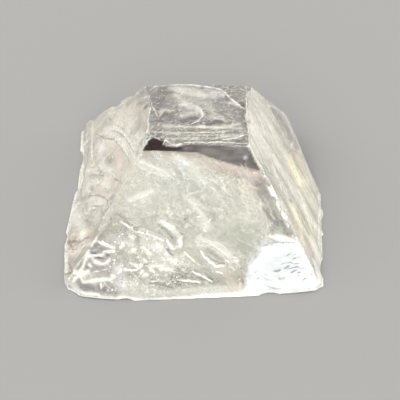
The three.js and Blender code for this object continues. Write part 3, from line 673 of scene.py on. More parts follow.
RIGHT_BANDS = drawn(
    RIGHT,
    brown=((0.4, 1.8, 272, 111, 291, 142), (0.28, 4, 302, 235, 308, 241)),
    plum=((0.25, 9, 272, 108, 281, 119, 290, 134),),
    grey=((0.3, 4, 284, 196, 288, 201, 292, 206), (0.3, 5, 281, 196, 286, 204, 291, 214), (0.25, 3, 262, 150,
        280, 190), (0.28, 3, 311, 250, 315.6, 264, 318, 279)),
    shade=((0.5, 2.6, 287.6, 200, 291.4, 202), (0.3, 2.4, 297, 205, 304, 220, 310, 236)),
    dusk=((0.62, 8, 273, 110, 280, 118, 287, 128, 297, 147), (0.5, 4, 312, 262, 315, 271, 318, 280)),
    olive=((0.35, 2.4, 291, 205, 304, 228),),
    sand=((0.7, 3, 313.6, 264, 318.6, 279), (0.4, 3, 292, 205, 307, 233)),
    blush=((0.6, 5, 298, 155, 303, 172), (0.5, 6, 296, 232, 306, 242), (0.55, 8, 303, 242, 311, 258), (0.55,
        8, 303, 242, 312, 252), (0.32, 4, 300, 160, 303.5, 170)),
    gold=((0.3, 6, 300, 164, 303, 174), (0.45, 5, 294, 172, 298, 180), (0.34, 10, 291, 162, 295, 172, 299,
        183), (0.26, 9, 291, 210, 295, 222, 300, 234)),
    straw=((0.5, 5, 301, 180, 305, 178), (0.35, 6, 294, 212, 302, 234), (0.5, 8, 289, 164, 299, 188), (0.45,
        6, 276, 206, 290, 234), (0.42, 8, 296, 158, 300, 172, 306, 188), (0.4, 5, 306, 207, 311, 222, 313,
        240)),
    lilac=((0.6, 6, 250, 90, 258, 100), (0.7, 5, 296, 191, 302, 206), (0.5, 6, 312, 238, 314, 250, 316, 260),
        (0.5, 4, 314, 244, 317, 254, 318, 264)),
    cream=((0.8, 9, 291, 156, 295, 168, 298, 180), (0.9, 9, 297, 184, 302, 179, 307, 182), (0.6, 7, 306, 176,
        310, 186, 316, 200), (0.9, 10, 293, 208, 297, 220, 302, 236), (0.6, 12, 308, 214, 312, 228, 314, 242),
        (0.45, 6, 298, 191, 304, 205, 309, 222)),
    snow=((0.8, 2.2, 253.5, 101, 257, 105.5), (0.5, 1.4, 268, 105.5, 276, 107.5, 285, 114.5, 292, 126, 299,
        142), (0.5, 1.8, 291, 157, 297, 178), (0.8, 5, 299, 190, 304, 198, 314, 226), (0.7, 2.5, 303, 206,
        308, 218, 313, 234), (0.95, 4, 318.5, 197, 319.5, 230, 320, 282), (0.6, 10, 315, 248, 318, 262, 319,
        280), (0.8, 6, 314, 262, 321, 286), (0.9, 2.6, 290, 238, 299, 250.5, 318.6, 283), (0.7, 3, 248, 146,
        262, 169, 268, 179), (0.6, 3, 270, 180, 276, 198, 284, 215, 290, 230), (0.8, 2.5, 321.5, 226, 322.5,
        284), (0.75, 2, 298, 245, 306, 258, 314, 272)))
TOP_BANDS = drawn(
    TOP, faint=0.8,
    plum=((0.62, 14, 156, 92, 162, 100, 160, 110), (0.5, 8, 230, 92, 238, 95, 243, 102), (0.5, 12, 154, 88,
        158, 100, 158, 114), (0.3, 6, 152, 118, 166, 116, 180, 120), (0.35, 9, 156, 90, 168, 96, 176, 104)),
    grey=((0.4, 9, 150, 118, 172, 106), (0.45, 9, 170, 92, 180, 98, 182, 108), (0.4, 9, 206, 98, 220, 108,
        236, 114), (0.5, 6, 168, 130, 240, 130), (0.4, 5, 170, 138, 240, 139), (0.4, 10, 166, 90, 178, 96,
        186, 106), (0.3, 8, 178, 98, 208, 114)),
    dusk=((0.65, 5, 181, 122, 198, 116), (0.55, 5, 206, 124, 222, 121), (0.6, 9, 156, 91, 163, 106), (0.5, 4,
        152, 119, 158, 121, 165, 119), (0.45, 4, 168, 121, 174, 121), (0.35, 6, 166, 94, 172, 100, 172, 108),
        (0.35, 5, 212, 104, 230, 110)),
    olive=((0.4, 3, 212, 110, 222, 117, 232, 121), (0.3, 4, 216, 126, 226, 126, 238, 124)),
    sand=((0.3, 5, 155, 128, 170, 126, 190, 127),),
    blush=((0.45, 6, 210, 116, 214, 118), (0.35, 4, 198, 128, 206, 127, 214, 128)),
    lilac=((0.5, 5, 212, 94, 220, 93, 226, 95), (0.5, 4, 206, 89, 218, 92, 238, 104)),
    snow=((0.5, 6, 176, 95, 190, 108), (0.55, 8, 180, 90, 190, 94, 203, 96), (0.8, 3, 180, 105, 190, 104, 198,
        108, 203, 114), (0.5, 5, 182, 116, 196, 112), (0.6, 3, 160, 112, 165, 109, 168, 110), (0.6, 4, 229,
        103, 238, 104), (0.5, 3, 215, 118, 222, 119, 226, 121), (0.6, 2.5, 156, 86, 190, 84.5), (0.5, 3, 200,
        126, 220, 127, 240, 124), (0.45, 7, 170, 88, 195, 91, 214, 97), (0.35, 8, 190, 100, 206, 104, 214,
        112), (0.6, 1.6, 165, 126, 242, 128), (0.6, 1.4, 165, 134.5, 242, 136)))
FRONT_PINK_BAND = outlined(FRONT, 143, 151.5, 175, 152.5, 197, 154, 215, 160.5, 233, 165.5, 249, 170,
    260, 171, 268, 186, 262, 196, 250, 186, 236, 178, 215, 170, 195, 163, 160, 158, 141, 157)
FRONT_GREY_ZONE = outlined(FRONT, 262, 176, 268, 184, 274, 200, 281, 220, 276, 225, 268, 212, 258, 196,
    256, 184)
# Dark plum patch low on the left of the front: a painted dark reflection of the surroundings.
FRONT_DARK_REFLECTION_CORNER = outlined(FRONT, 80, 276, 86, 262, 93, 247, 99, 236, 104, 246, 112, 252, 114, 266,
    116, 282, 108, 289, 88, 286)
# The bluish white patch low on the right of the front, and the corner above it, are a painted window
# reflection.
FRONT_WINDOW_REFLECTION = outlined(FRONT, 238, 300, 247.4, 276.8, 247.8, 267, 251, 262.9, 254.4, 255, 261.4, 249.5,
    262.6, 244.7, 271, 242.9, 289.2, 241, 297.7, 252.6, 303.2, 261, 309.2, 272.6, 318, 290, 319, 297,
    262, 300)
FRONT_REFLECTION_CORNER = outlined(FRONT, 273, 233.8, 277.7, 237.6, 288.6, 239.4, 285.6, 233.4, 280, 228.5)
FRONT_GREEN_PATCH = outlined(FRONT, 232, 224, 262, 224, 263, 243, 256, 252, 238, 252, 228, 240)
FRONT_MILK_SPOTS = outlined(FRONT, 174, 158, 190, 158, 204, 170, 212, 184, 206, 194, 188, 200, 174, 190,
    170, 172)
FRONT_WARM_LOW = outlined(FRONT, 222, 262, 246, 262, 244, 285, 234, 297, 218, 296, 216, 276)
FRONT_COOL_LOW = outlined(FRONT, 75, 292, 90, 246, 112, 232, 150, 240, 178, 262, 176, 292)
FRONT_LAVENDER = outlined(FRONT, 112, 268, 130, 268, 132, 290, 114, 292)
# Outline of the wedge under the top's front edge, where dark painted shade is laid; the two patches after it
# hold its darkest parts.
SHADED_GAP_OUTLINE = outlined(FRONT, 141.4, 150.9, 143.6, 147, 146, 143.6, 149, 141.2, 152, 139.4, 155.5, 138.7,
    159.2, 140, 161.4, 143.6, 163.6, 146.2, 168, 145.8, 171, 146.8, 177, 147.2, 183, 145.8, 190, 144.6,
    207, 144.8, 222, 145.6, 236, 146.4, 246.6, 147, 251, 152, 254.6, 160, 260.4, 170, 249, 168.2,
    233, 164.2, 215.4, 159.2, 197.5, 152.8, 185, 151.9, 165, 151.4)
GAP_DARKEST_SHADE = outlined(FRONT, 140, 136, 183, 136, 189, 150, 183, 156, 140, 154)
GAP_MIDDLE_SHADE = outlined(FRONT, 183, 136, 203, 136, 198, 156, 183, 156)
LEFT_BEIGE_LOW = outlined(LEFT, 98, 177, 113, 177, 118, 160, 127, 150, 130, 166, 124, 182, 112, 197,
    98, 195)
LEFT_BEIGE_HIGH = outlined(LEFT, 113, 146, 120, 146, 128, 156, 128, 170, 122, 178, 113, 172)
LEFT_GREY_TOP = outlined(LEFT, 128, 100, 150, 86, 150, 104, 147, 122, 146, 132, 138, 128, 130, 112)
LEFT_MAUVE_LOW = outlined(LEFT, 70, 210, 84, 205, 86, 226, 70, 232)
LEFT_STRAW_LOW = outlined(LEFT, 70, 230, 90, 226, 92, 240, 80, 252, 69, 256)
LEFT_GREY_LOW = outlined(LEFT, 67, 257, 76, 252, 84, 250, 78, 268, 72, 280, 67, 276)
RIGHT_GREY_BAND = outlined(RIGHT, 268.5, 104.9, 277, 108.7, 285.7, 116.4, 292.4, 127.8, 298.2, 139.3,
    300.5, 148.9, 296.2, 147, 288.6, 137.4, 281.9, 127.8, 275.2, 118.3, 270.4, 110.6)
RIGHT_GOLD = outlined(RIGHT, 289.5, 150.8, 296.2, 154.6, 302, 159.4, 308.7, 175.7, 306.8, 183.3,
    301, 185.3, 297.2, 181.4, 294.3, 170)
RIGHT_STRAW = outlined(RIGHT, 288, 150, 303, 156, 312, 184, 320, 205, 318, 240, 306, 250, 296, 236,
    290, 206, 294, 186)
RIGHT_MAUVE = outlined(RIGHT, 292, 236, 306, 236, 309, 262, 302, 262)
RIGHT_COOL_TOP = outlined(RIGHT, 248, 88, 262, 94, 268, 106, 258, 110, 249, 104)
# Dark patch on the left of the top: painted shade of the floor seen through the top.
TOP_SHADE_LEFT = outlined(TOP, 153, 89.2, 165.2, 86.9, 169, 93.8, 166.8, 99.9, 165.2, 109, 158.4, 112,
    153, 107)
TOP_BEIGE_FACET = outlined(TOP, 217, 87, 246, 88, 246, 107, 236, 101, 230, 96.6, 224, 90.6)
TOP_CLOUD = outlined(TOP, 186, 92, 206, 90, 222, 98, 224, 110, 210, 112, 204, 104, 192, 101)
TOP_CREAM_FRONT = outlined(TOP, 160, 126, 186, 126, 196, 130, 220, 129, 246, 131, 248, 142, 205, 141,
    180, 142, 165, 138)
TOP_MIST = outlined(TOP, 163, 108, 186, 112, 200, 112, 196, 118, 176, 119, 166, 117)


# ---- making -------------------------------------------------------------------------------


def modelling_alone(thing: bpy.types.Object) -> None:
    """Leaves one object selected and active, so that operators touch nothing else."""
    bpy.ops.object.select_all(action="DESELECT")
    thing.select_set(True)
    bpy.context.view_layer.objects.active = thing


def corners_of(mesh: bpy.types.Mesh) -> Numbers:
    """Reads a mesh's points, in millimetres from the pyramid's axis."""
    return numbers_of(mesh.vertices, "co", 3) / MM - AXIS


def set_corners(mesh: bpy.types.Mesh, points: Numbers) -> None:
    """Writes a mesh's points back in metres."""
    mesh.vertices.foreach_set("co", ((points + AXIS) * MM).ravel())
    mesh.update()


def directions_of(mesh: bpy.types.Mesh) -> Numbers:
    """Reads the direction that each point faces."""
    return numbers_of(mesh.vertex_normals, "vector", 3)


def edges_of(mesh: bpy.types.Mesh) -> Numbers:
    """Reads the two points of each edge."""
    return numbers_of(mesh.edges, "vertices", 2, np.int64)


def summed_round(edges: Numbers, values: Numbers) -> Numbers:
    """Adds up the values of each point's neighbours."""
    total = np.bincount(edges[:, 0], values[edges[:, 1]], len(values))
    return total + np.bincount(edges[:, 1], values[edges[:, 0]], len(values))


def paint_corners(mesh: bpy.types.Mesh, colour: Numbers, cover: Numbers) -> None:
    """Stores colour and cover at each point of a film."""
    layer = mesh.color_attributes.new(name=TINT, type="FLOAT_COLOR", domain="POINT")
    layer.data.foreach_set("color", np.column_stack([colour, cover]).ravel())


def drop_corners(thing: bpy.types.Object, gone: Numbers) -> None:
    """Deletes some points of an object, with the faces that touch them.

    Args:
        thing: The object.
        gone: Whether each point goes.
    """
    modelling_alone(thing)
    bpy.ops.object.mode_set(mode="EDIT")
    bpy.ops.mesh.select_all(action="DESELECT")
    bpy.ops.mesh.select_mode(type="VERT")
    bpy.ops.object.mode_set(mode="OBJECT")
    thing.data.vertices.foreach_set("select", gone)
    bpy.ops.object.mode_set(mode="EDIT")
    bpy.ops.mesh.delete(type="VERT")
    bpy.ops.object.mode_set(mode="OBJECT")
    bpy.ops.object.shade_smooth()


def flat_grid(name: str, columns: int, rows: int) -> bpy.types.Object:
    """Adds a grid of the given number of faces each way, one unit wide, at the origin."""
    bpy.ops.object.select_all(action="DESELECT")
    bpy.ops.mesh.primitive_grid_add(x_subdivisions=columns, y_subdivisions=rows, size=1.0)
    grid = bpy.context.object
    grid.name = grid.data.name = name
    return grid


def finished(piece: bpy.types.Object, *materials: bpy.types.Material) -> None:
    """Args:
        piece: The piece.
        materials: What it is made of.
    """
    piece.data.materials.clear()
    for material in materials:
        piece.data.materials.append(material)
    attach(piece, BODY)
    log.info("%s: %d faces", piece.name, len(piece.data.polygons))


# ---- finishes -----------------------------------------------------------------------------


@dataclass
class Board:
    """The nodes of one material or room, added and joined a line at a time."""

    tree: bpy.types.NodeTree

    def put(self, socket: bpy.types.NodeSocket, value: object) -> None:
        """Links a socket to another node's output, or sets its value.

        Args:
            socket: The socket.
            value: The output or the value.
        """
        if isinstance(value, bpy.types.NodeSocket):
            self.tree.links.new(value, socket)
        else:
            socket.default_value = value

    def join(self, node: bpy.types.Node, **inputs: object) -> bpy.types.Node:
        """Sets or links a node's inputs.

        Args:
            node: The node.
            inputs: Values or outputs by socket name, with _ for a space.

        Returns:
            The same node.
        """
        for name, value in inputs.items():
            self.put(node.inputs[name.replace("_", " ")], value)
        return node

    def add(self, kind: str, **inputs: object) -> bpy.types.Node:
        """Adds one shader node with its inputs set."""
        return self.join(self.tree.nodes.new("ShaderNode" + kind), **inputs)

    def work(self, kind: str, operation: str, *values: object, **inputs: object) -> bpy.types.Node:
        """Adds one Math or VectorMath node.

        Args:
            kind: Which of the two.
            operation: What it works out.
            values: Its first inputs, in order.
            inputs: Inputs by name.

        Returns:
            The node.
        """
        node = self.add(kind)
        node.operation = operation
        for socket, value in zip(node.inputs, values):
            self.put(socket, value)
        return self.join(node, **inputs)


def new_material(name: str) -> tuple[bpy.types.Material, Board, bpy.types.Node]:
    """Makes a material with nodes, its board and its main shader."""
    material = bpy.data.materials.new(name)
    material.use_nodes = True
    return material, Board(material.node_tree), material.node_tree.nodes["Principled BSDF"]


@dataclass(frozen=True)
class ClearStone:
    """Water-clear stone with a faint warm cast and a finely etched surface."""

    colour: Colour = (0.985, 0.985, 0.97)
    roughness: float = 0.03
    bend: float = 1.535
    etch: float = 0.012
    etch_scale: float = 2600.0
    etch_strength: float = 0.25

    def build(self) -> bpy.types.Material:
        """Makes the material.

        Returns:
            The stone's material.
        """
        material, board, shader = new_material("clear_stone")
        place = board.add("TexCoord").outputs["Object"]
        grain = board.add("TexNoise", Vector=place, Scale=self.etch_scale, Detail=3.0)
        bump = board.add("Bump", Height=grain.outputs["Fac"], Strength=self.etch_strength,
                         Distance=self.etch * MM)
        board.join(shader, Base_Color=(*self.colour, 1), Roughness=self.roughness, IOR=self.bend,
                   Transmission_Weight=1.0, Normal=bump.outputs["Normal"])
        return material


@dataclass(frozen=True)
class Film:
    """What fills a crack or a cloud: its tint and cover follow the film's own points."""

    name: str
    roughness: float = 0.55
    gloss: float = 0.3
    mottle: float = 0.12
    mottle_scale: float = 3200.0
    mottle_range: Pair = (0.3, 0.7)
    way: Colour = (1.0, 0.0, 0.0)
    stretch: float = 5.0

    def mottled(self, board: Board, cover: bpy.types.NodeSocket) -> bpy.types.NodeSocket:
        """Varies a cover with fine noise that is stretched one way.

        Args:
            board: The material's nodes.
            cover: The cover.

        Returns:
            The varied cover.
        """
        place = board.add("TexCoord").outputs["Object"]
        along = board.work("VectorMath", "DOT_PRODUCT", place, self.way).outputs["Value"]
        shorter = board.work("Math", "MULTIPLY", along, 1.0 / self.stretch - 1.0).outputs["Value"]
        back = board.work("VectorMath", "SCALE", self.way, Scale=shorter).outputs["Vector"]
        run = board.work("VectorMath", "ADD", place, back).outputs["Vector"]
        grain = board.add("TexNoise", Vector=run, Scale=self.mottle_scale, Detail=3.0)
        share = board.add("MapRange", Value=grain.outputs["Fac"], From_Min=self.mottle_range[0],
                          From_Max=self.mottle_range[1], To_Min=1.0 - self.mottle,
                          To_Max=1.0 + self.mottle)
        varied = board.work("Math", "MULTIPLY", share.outputs["Result"], cover)
        varied.use_clamp = True
        return varied.outputs["Value"]

    def build(self) -> bpy.types.Material:
        """Makes the material.

        Returns:
            The film's material.
        """
        material, board, shader = new_material(self.name)
        tint = board.add("Attribute")
        tint.attribute_name = TINT
        cover = tint.outputs["Alpha"]
        board.join(shader, Base_Color=tint.outputs["Color"], Roughness=self.roughness,
                   Specular_IOR_Level=self.gloss, Alpha=self.mottled(board, cover) if self.mottle else cover)
        return material


# ---- the room -----------------------------------------------------------------------------


@dataclass
class Studio:
    """Pale floor, soft room light and one softbox behind the crystal."""

    floor_span: float = 6.0
    floor_gap: float = 0.00002
    floor_tone: Colour = (0.335, 0.335, 0.345)
    floor_roughness: float = 0.9
    sky_steps: tuple = (
        (0.00, (0.50, 0.50, 0.49)),
        (0.10, (0.56, 0.56, 0.55)),
        (0.26, (0.72, 0.72, 0.69)),
        (0.60, (0.86, 0.85, 0.79)),
        (0.76, (0.84, 0.83, 0.77)),
        (0.86, (0.56, 0.53, 0.50)),
        (0.93, (0.20, 0.18, 0.18)),
        (1.00, (0.14, 0.13, 0.13)),
    )
    key_way: tuple = (-0.10, -0.52, 0.848)
    key_edges: tuple = (0.76, 0.98)
    key_glow: Colour = (3.0, 2.95, 2.75)
    side_way: tuple = (0.80, 0.0, 0.60)
    side_edges: tuple = (0.84, 0.98)
    side_glow: Colour = (0.75, 0.73, 0.66)
    window_heading: float = 152.0
    window_height: float = 12.5
    window_away: float = 0.8
    window_span: Pair = (0.34, 0.18)
    window_glow: float = 0.9
    bounces: int = 24
    glossy_bounces: int = 12

    def floor(self) -> None:
        """Lays the floor a hair under the crystal, so light still passes between them."""
        bpy.ops.mesh.primitive_plane_add(size=self.floor_span, location=(0, 0, -self.floor_gap))
        floor = bpy.context.object
        floor.name = "floor"
        material, board, shader = new_material("pale_floor")
        board.join(shader, Base_Color=(*self.floor_tone, 1), Roughness=self.floor_roughness)
        floor.data.materials.append(material)

    def sky(self) -> None:
        """Sets the even light of the room and the broad soft light from the front."""
        world = bpy.data.worlds.new("soft_room")
        world.use_nodes = True
        board = Board(world.node_tree)
        direction = board.add("TexCoord").outputs["Generated"]
        parts = board.add("SeparateXYZ", Vector=direction)
        ramp = board.add("ValToRGB", Fac=parts.outputs["Z"])
        stops = ramp.color_ramp.elements
        while len(stops) < len(self.sky_steps):
            stops.new(1.0)
        for stop, (place, tone) in zip(stops, self.sky_steps):
            stop.position = place
            stop.color = (*tone, 1)
        folded = board.work("VectorMath", "ABSOLUTE", direction).outputs["Vector"]
        light = ramp.outputs["Color"]
        for seen, way, edges, glow in ((direction, self.key_way, self.key_edges, self.key_glow),
                                       (folded, self.side_way, self.side_edges, self.side_glow)):
            facing = board.work("VectorMath", "DOT_PRODUCT", seen, way).outputs["Value"]
            share = board.add("MapRange", Value=facing, From_Min=edges[0], From_Max=edges[1])
            share.interpolation_type = "SMOOTHSTEP"
            lobe = board.work("VectorMath", "SCALE", glow, Scale=share.outputs["Result"]).outputs["Vector"]
            light = board.work("VectorMath", "ADD", light, lobe).outputs["Vector"]
        board.join(board.tree.nodes["Background"], Color=light)
        bpy.context.scene.world = world

    def window(self) -> None:
        """Hangs the softbox, which looks at the crystal and stays out of the picture."""
        bpy.ops.object.light_add(type="AREA")
        lamp = bpy.context.object
        lamp.name = "window"
        around, up = math.radians(self.window_heading), math.radians(self.window_height)
        way = Vector((math.cos(around) * math.cos(up), math.sin(around) * math.cos(up), math.sin(up)))
        lamp.location = way * self.window_away
        lamp.rotation_euler = (-way).to_track_quat("-Z", "Y").to_euler()
        lamp.data.shape = "RECTANGLE"
        wide, tall = self.window_span
        lamp.data.size, lamp.data.size_y = wide, tall
        lamp.data.energy = self.window_glow * math.pi * wide * tall
        lamp.visible_camera = False

    def build(self) -> None:
        """Builds the floor, the sky and the softbox, and lets light pass deep into the stone."""
        self.floor()
        self.sky()
        self.window()
        cycles = bpy.context.scene.cycles
        cycles.max_bounces = cycles.transmission_bounces = self.bounces
        cycles.transparent_max_bounces = self.bounces
        cycles.glossy_bounces = self.glossy_bounces
        bpy.context.scene.view_settings.view_transform = "Standard"


# ---- the stone ----------------------------------------------------------------------------


@dataclass
class Relief:
    """How far one side's natural surface stands proud of a true plane."""

    facet: Facet
    marks: tuple = ()
    swell: float = 0.02
    swell_size: float = 3.0
    ripple: float = 0.008
    ripple_size: float = 0.7
    ripple_shift: float = 40.0
    lean: float = 0.0
    stretch: float = 1.0
    seed: int = 1
    ridge: float = 0.12
    groove: float = -0.7
    broad: Pair = (0.13, 0.35)
    flank: Pair = (0.6, 0.11)
    reach: float = 0.8

    def rise(self, across: Numbers, up: Numbers) -> Numbers:
        """Works out the surface's rise at points of the side.

        Args:
            across: First coordinates of the points.
            up: Second coordinates.

        Returns:
            Rises in millimetres.
        """
        along, side = turned(across, up, self.lean)
        grain = Grain(self.seed)
        height = self.swell * grain.layered(along / (self.swell_size * self.stretch),
                                            side / self.swell_size, 3)
        height += self.ripple * grain.layered(along / (self.ripple_size * self.stretch) + self.ripple_shift,
                                              side / self.ripple_size, 3)
        narrowest, broadest = self.broad
        for mark in self.marks:
            if mark.width < narrowest:
                continue
            near = mark.near(across, up, self.reach)
            away = path_distance(across[near], up[near], mark.path)
            sign = 1.0 if mark.tone in PROUD_TONES else self.groove
            spread = max(mark.width * self.flank[0], self.flank[1])
            height[near] += sign * self.ridge * min(mark.width, broadest) * np.exp(-(away / spread) ** 2)
        return height


@dataclass
class CrystalBody:
    """The clear stone itself: an even fine mesh on the sawn shape, then its natural relief."""

    name: str = "crystal"
    pitch: float = 0.129 * MM
    doubles: float = 1e-7
    blended: tuple = ((FRONT, 1.7, 75), (RIGHT, 1.0, 33), (LEFT, 0.8, 12), (BACK, 1.0, 25))
    border: float = 0.15
    top_border: float = 0.5
    least_faced: float = 0.05
    squareness: Pair = (0.82, 0.95)
    foot: float = 0.5
    smooth_angle: float = 32.0
    break_seed: int = 21
    break_middle: Pair = (9.5, 10.5)
    break_facing: Pair = (-0.10, 0.25)
    break_foot: Pair = (0.1, 0.8)
    break_ripple: float = 0.02
    break_rings: float = 7.0
    break_swell: float = 0.04
    reliefs: tuple = (
        Relief(FRONT, FRONT_MARKS, swell=0.035, ripple=0.010, lean=-38.0, stretch=2.2, seed=3),
        Relief(RIGHT, RIGHT_MARKS, swell=0.03, ripple=0.016, ripple_size=0.45, lean=62.0, stretch=5.0,
               seed=5),
        Relief(LEFT, LEFT_MARKS, swell=0.03, ripple=0.010, lean=40.0, stretch=2.5, seed=7),
        Relief(TOP, TOP_MARKS, swell=0.02, ripple=0.010, lean=5.0, stretch=2.2, seed=9),
        Relief(BACK, (), swell=0.05, ripple=0.02, ripple_size=0.9, lean=30.0, stretch=2.0, seed=11),
    )

    def even_mesh(self) -> bpy.types.Object:
        """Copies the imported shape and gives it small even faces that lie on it.

        Returns:
            The object, with its mesh in place.
        """
        crystal = bpy.data.objects.new(self.name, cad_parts[NODE].data.copy())
        bpy.context.scene.collection.objects.link(crystal)
        modelling_alone(crystal)
        bpy.ops.object.mode_set(mode="EDIT")
        bpy.ops.mesh.select_all(action="SELECT")
        bpy.ops.mesh.remove_doubles(threshold=self.doubles)
        bpy.ops.object.mode_set(mode="OBJECT")
        sawn = BVHTree.FromPolygons([v.co.copy() for v in crystal.data.vertices],
                                    [tuple(p.vertices) for p in crystal.data.polygons])
        remesh = crystal.modifiers.new("even_grain", "REMESH")
        remesh.mode = "VOXEL"
        remesh.voxel_size = self.pitch
        bpy.ops.object.modifier_apply(modifier=remesh.name)
        for corner in crystal.data.vertices:
            spot = sawn.find_nearest(corner.co)[0]
            if spot is not None:
                corner.co = spot
        crystal.data.update()
        return crystal

    def blend_layers(self, mesh: bpy.types.Mesh, points: Numbers, facing: Numbers) -> Numbers:
        """Runs the growth layers of a side gently into one another.

        Args:
            mesh: The stone's mesh, for which points are neighbours.
            points: Its points.
            facing: Their directions.

        Returns:
            The points, with the steps softened.
        """
        edges = edges_of(mesh)
        for facet, reach, passes in self.blended:
            out = facet.flat(points)[2]
            others = [-side.flat(points)[2] for side in (FRONT, LEFT, RIGHT, BACK) if side is not facet]
            inner = np.minimum.reduce([*others, points[:, 2], HEIGHT - self.top_border - points[:, 2]])
            taking = (np.abs(out) < reach) & (inner > self.border) & (facet.faced(facing) > self.least_faced)
            shared = edges[taking[edges].all(axis=1)]
            count = np.bincount(shared.ravel(), minlength=len(points)).astype(float)
            height = out.copy()
            for _ in range(passes):
                mean = summed_round(shared, height) / np.maximum(count, 1)
                height = np.where(taking & (count > 2), 0.5 * height + 0.5 * mean, height)
            points = points + np.outer(np.where(taking, height - out, 0.0), facet.axes()[3])
        return points

    def break_relief(self, points: Numbers, facing: Numbers, spoken_for: Numbers) -> Numbers:
        """Gives the broken faces their shell-like ripples.

        Args:
            points: The stone's points.
            facing: Their directions.
            spoken_for: Share of each point that a true side has taken already.

        Returns:
            How far each point moves out.
        """
        grain = Grain(self.break_seed)
        x, y, z = points.T
        free = (1.0 - spoken_for) * ease(*self.break_facing, facing[:, 2]) * ease(*self.break_foot, z)
        ring = np.hypot(x - self.break_middle[0], y - self.break_middle[1]) + 0.7 * z
        ring += 0.5 * grain.layered(x * 0.5, y * 0.5, 3)
        swell = grain.layered(x * 0.6 + z * 0.3, y * 0.6, 4)
        return free * (self.break_ripple * np.sin(ring * self.break_rings) + self.break_swell * swell)

    def carve(self, mesh: bpy.types.Mesh) -> None:
        """Moves the mesh's points to the natural surface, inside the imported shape's box.

        Args:
            mesh: The stone's mesh.
        """
        points = self.blend_layers(mesh, corners_of(mesh), directions_of(mesh))
        set_corners(mesh, points)
        facing = directions_of(mesh)
        moved = points.copy()
        taken = np.zeros(len(points))
        for relief in self.reliefs:
            across, up, out = relief.facet.flat(points)
            share = ease(*self.squareness, relief.facet.faced(facing)) * (np.abs(out) < NEAR)
            if relief.facet is not TOP:
                share = share * ease(0.0, self.foot, points[:, 2])
            moved += np.outer(share * relief.rise(across, up), relief.facet.axes()[3])
            taken = np.maximum(taken, share)
        moved += facing * self.break_relief(points, facing, taken)[:, None]
        low, high = (np.array(corner) / MM - AXIS for corner in cad_bounds)
        set_corners(mesh, np.clip(moved, low, high))

    def build(self) -> bpy.types.Object:
        """Builds the stone and dresses it.

        Returns:
            The stone.
        """
        crystal = self.even_mesh()
        self.carve(crystal.data)
        modelling_alone(crystal)
        bpy.ops.object.shade_smooth_by_angle(angle=math.radians(self.smooth_angle))
        finished(crystal, ClearStone().build())
        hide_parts(NODE)
        return crystal


@dataclass
class Ground:
    """The stone's finished surface, for hanging films just under it."""

    crystal: bpy.types.Object
    start: float = 3.0
    top_reach: float = 0.45
    tree: BVHTree = field(init=False)

    def __post_init__(self) -> None:
        """Sorts the stone's faces for quick searching."""
        mesh = self.crystal.data
        self.tree = BVHTree.FromPolygons(corners_of(mesh).tolist(),
                                         [tuple(p.vertices) for p in mesh.polygons])

    def heights(self, facet: Facet, across: Numbers, up: Numbers, lean: float = 0.6) -> Numbers:
        """Finds how far the stone stands out at places of one side.

        Args:
            facet: The side.
            across: First coordinates.
            up: Second coordinates.
            lean: Least agreement between the surface's direction and the side's.

        Returns:
            Rises over the side's plane, NaN where the stone's surface isn't that side.
        """
        way = Vector(-facet.axes()[3])
        reach = self.top_reach if facet is TOP else NEAR
        found = np.full(across.shape, np.nan)
        for index, spot in enumerate(facet.place(across, up, np.full(across.shape, self.start))):
            hit, facing, _, away = self.tree.ray_cast(Vector(spot), way, self.start + 2.0)
            if hit is not None and abs(facing.dot(way)) > lean and abs(self.start - away) < reach:
                found[index] = self.start - away
        return found

    def within(self, points: Numbers) -> Numbers:
        """Tells which points lie inside the stone.

        Args:
            points: The points.

        Returns:
            True or false a point.
        """
        inside = np.zeros(len(points), dtype=bool)
        for index, spot in enumerate(points):
            nearest, facing, _, _ = self.tree.find_nearest(Vector(spot))
            inside[index] = (Vector(spot) - nearest).dot(facing) < 0.0
        return inside


# ---- films and marks ----------------------------------------------------------------------


@dataclass
class Wash:
    """Layers of colour laid one over another at a film's points."""

    count: int
    clear: float = 0.8
    colour: Numbers = field(init=False)
    cover: Numbers = field(init=False)

    def __post_init__(self) -> None:
        """Starts with a clear film."""
        self.colour = np.full((self.count, 3), self.clear)
        self.cover = np.zeros(self.count)

    def lay(self, tone: Colour | Numbers, strength: Numbers, held: float = 1.0) -> None:
        """Lays more colour over the film.

        Args:
            tone: One colour, or one a point.
            strength: How much of what lies under it is hidden at each point, 0 to 1.
            held: How much of that the new colour covers itself.
        """
        strength = np.clip(strength, 0.0, 1.0)
        under = self.cover * (1.0 - strength)
        over = held * strength
        share = (over / np.maximum(under + over, TINY))[:, None]
        self.colour = self.colour * (1.0 - share) + np.asarray(tone) * share
        self.cover = under + over


class Share:
    """Says how much of a layer lies at each point of a side."""

    def at(self, across: Numbers, up: Numbers) -> Numbers:
        """Gives the share at each point.

        Args:
            across: First coordinates of the points.
            up: Second coordinates.

        Returns:
            Shares, mostly 0 to 1.
        """
        raise NotImplementedError


@dataclass(frozen=True)
class Patch(Share):
    """A filled patch with a soft, uneven edge."""

    outline: Outline
    soft: float
    ragged: float = 0.0
    seed: int = 51
    fine: float = 1.4

    def at(self, across: Numbers, up: Numbers) -> Numbers:
        """Gives the patch's share at each point."""
        rough = self.ragged * Grain(self.seed).layered(across * self.fine, up * self.fine, 4)
        return ease(-self.soft, self.soft, edge_distance(across, up, self.outline) + rough)


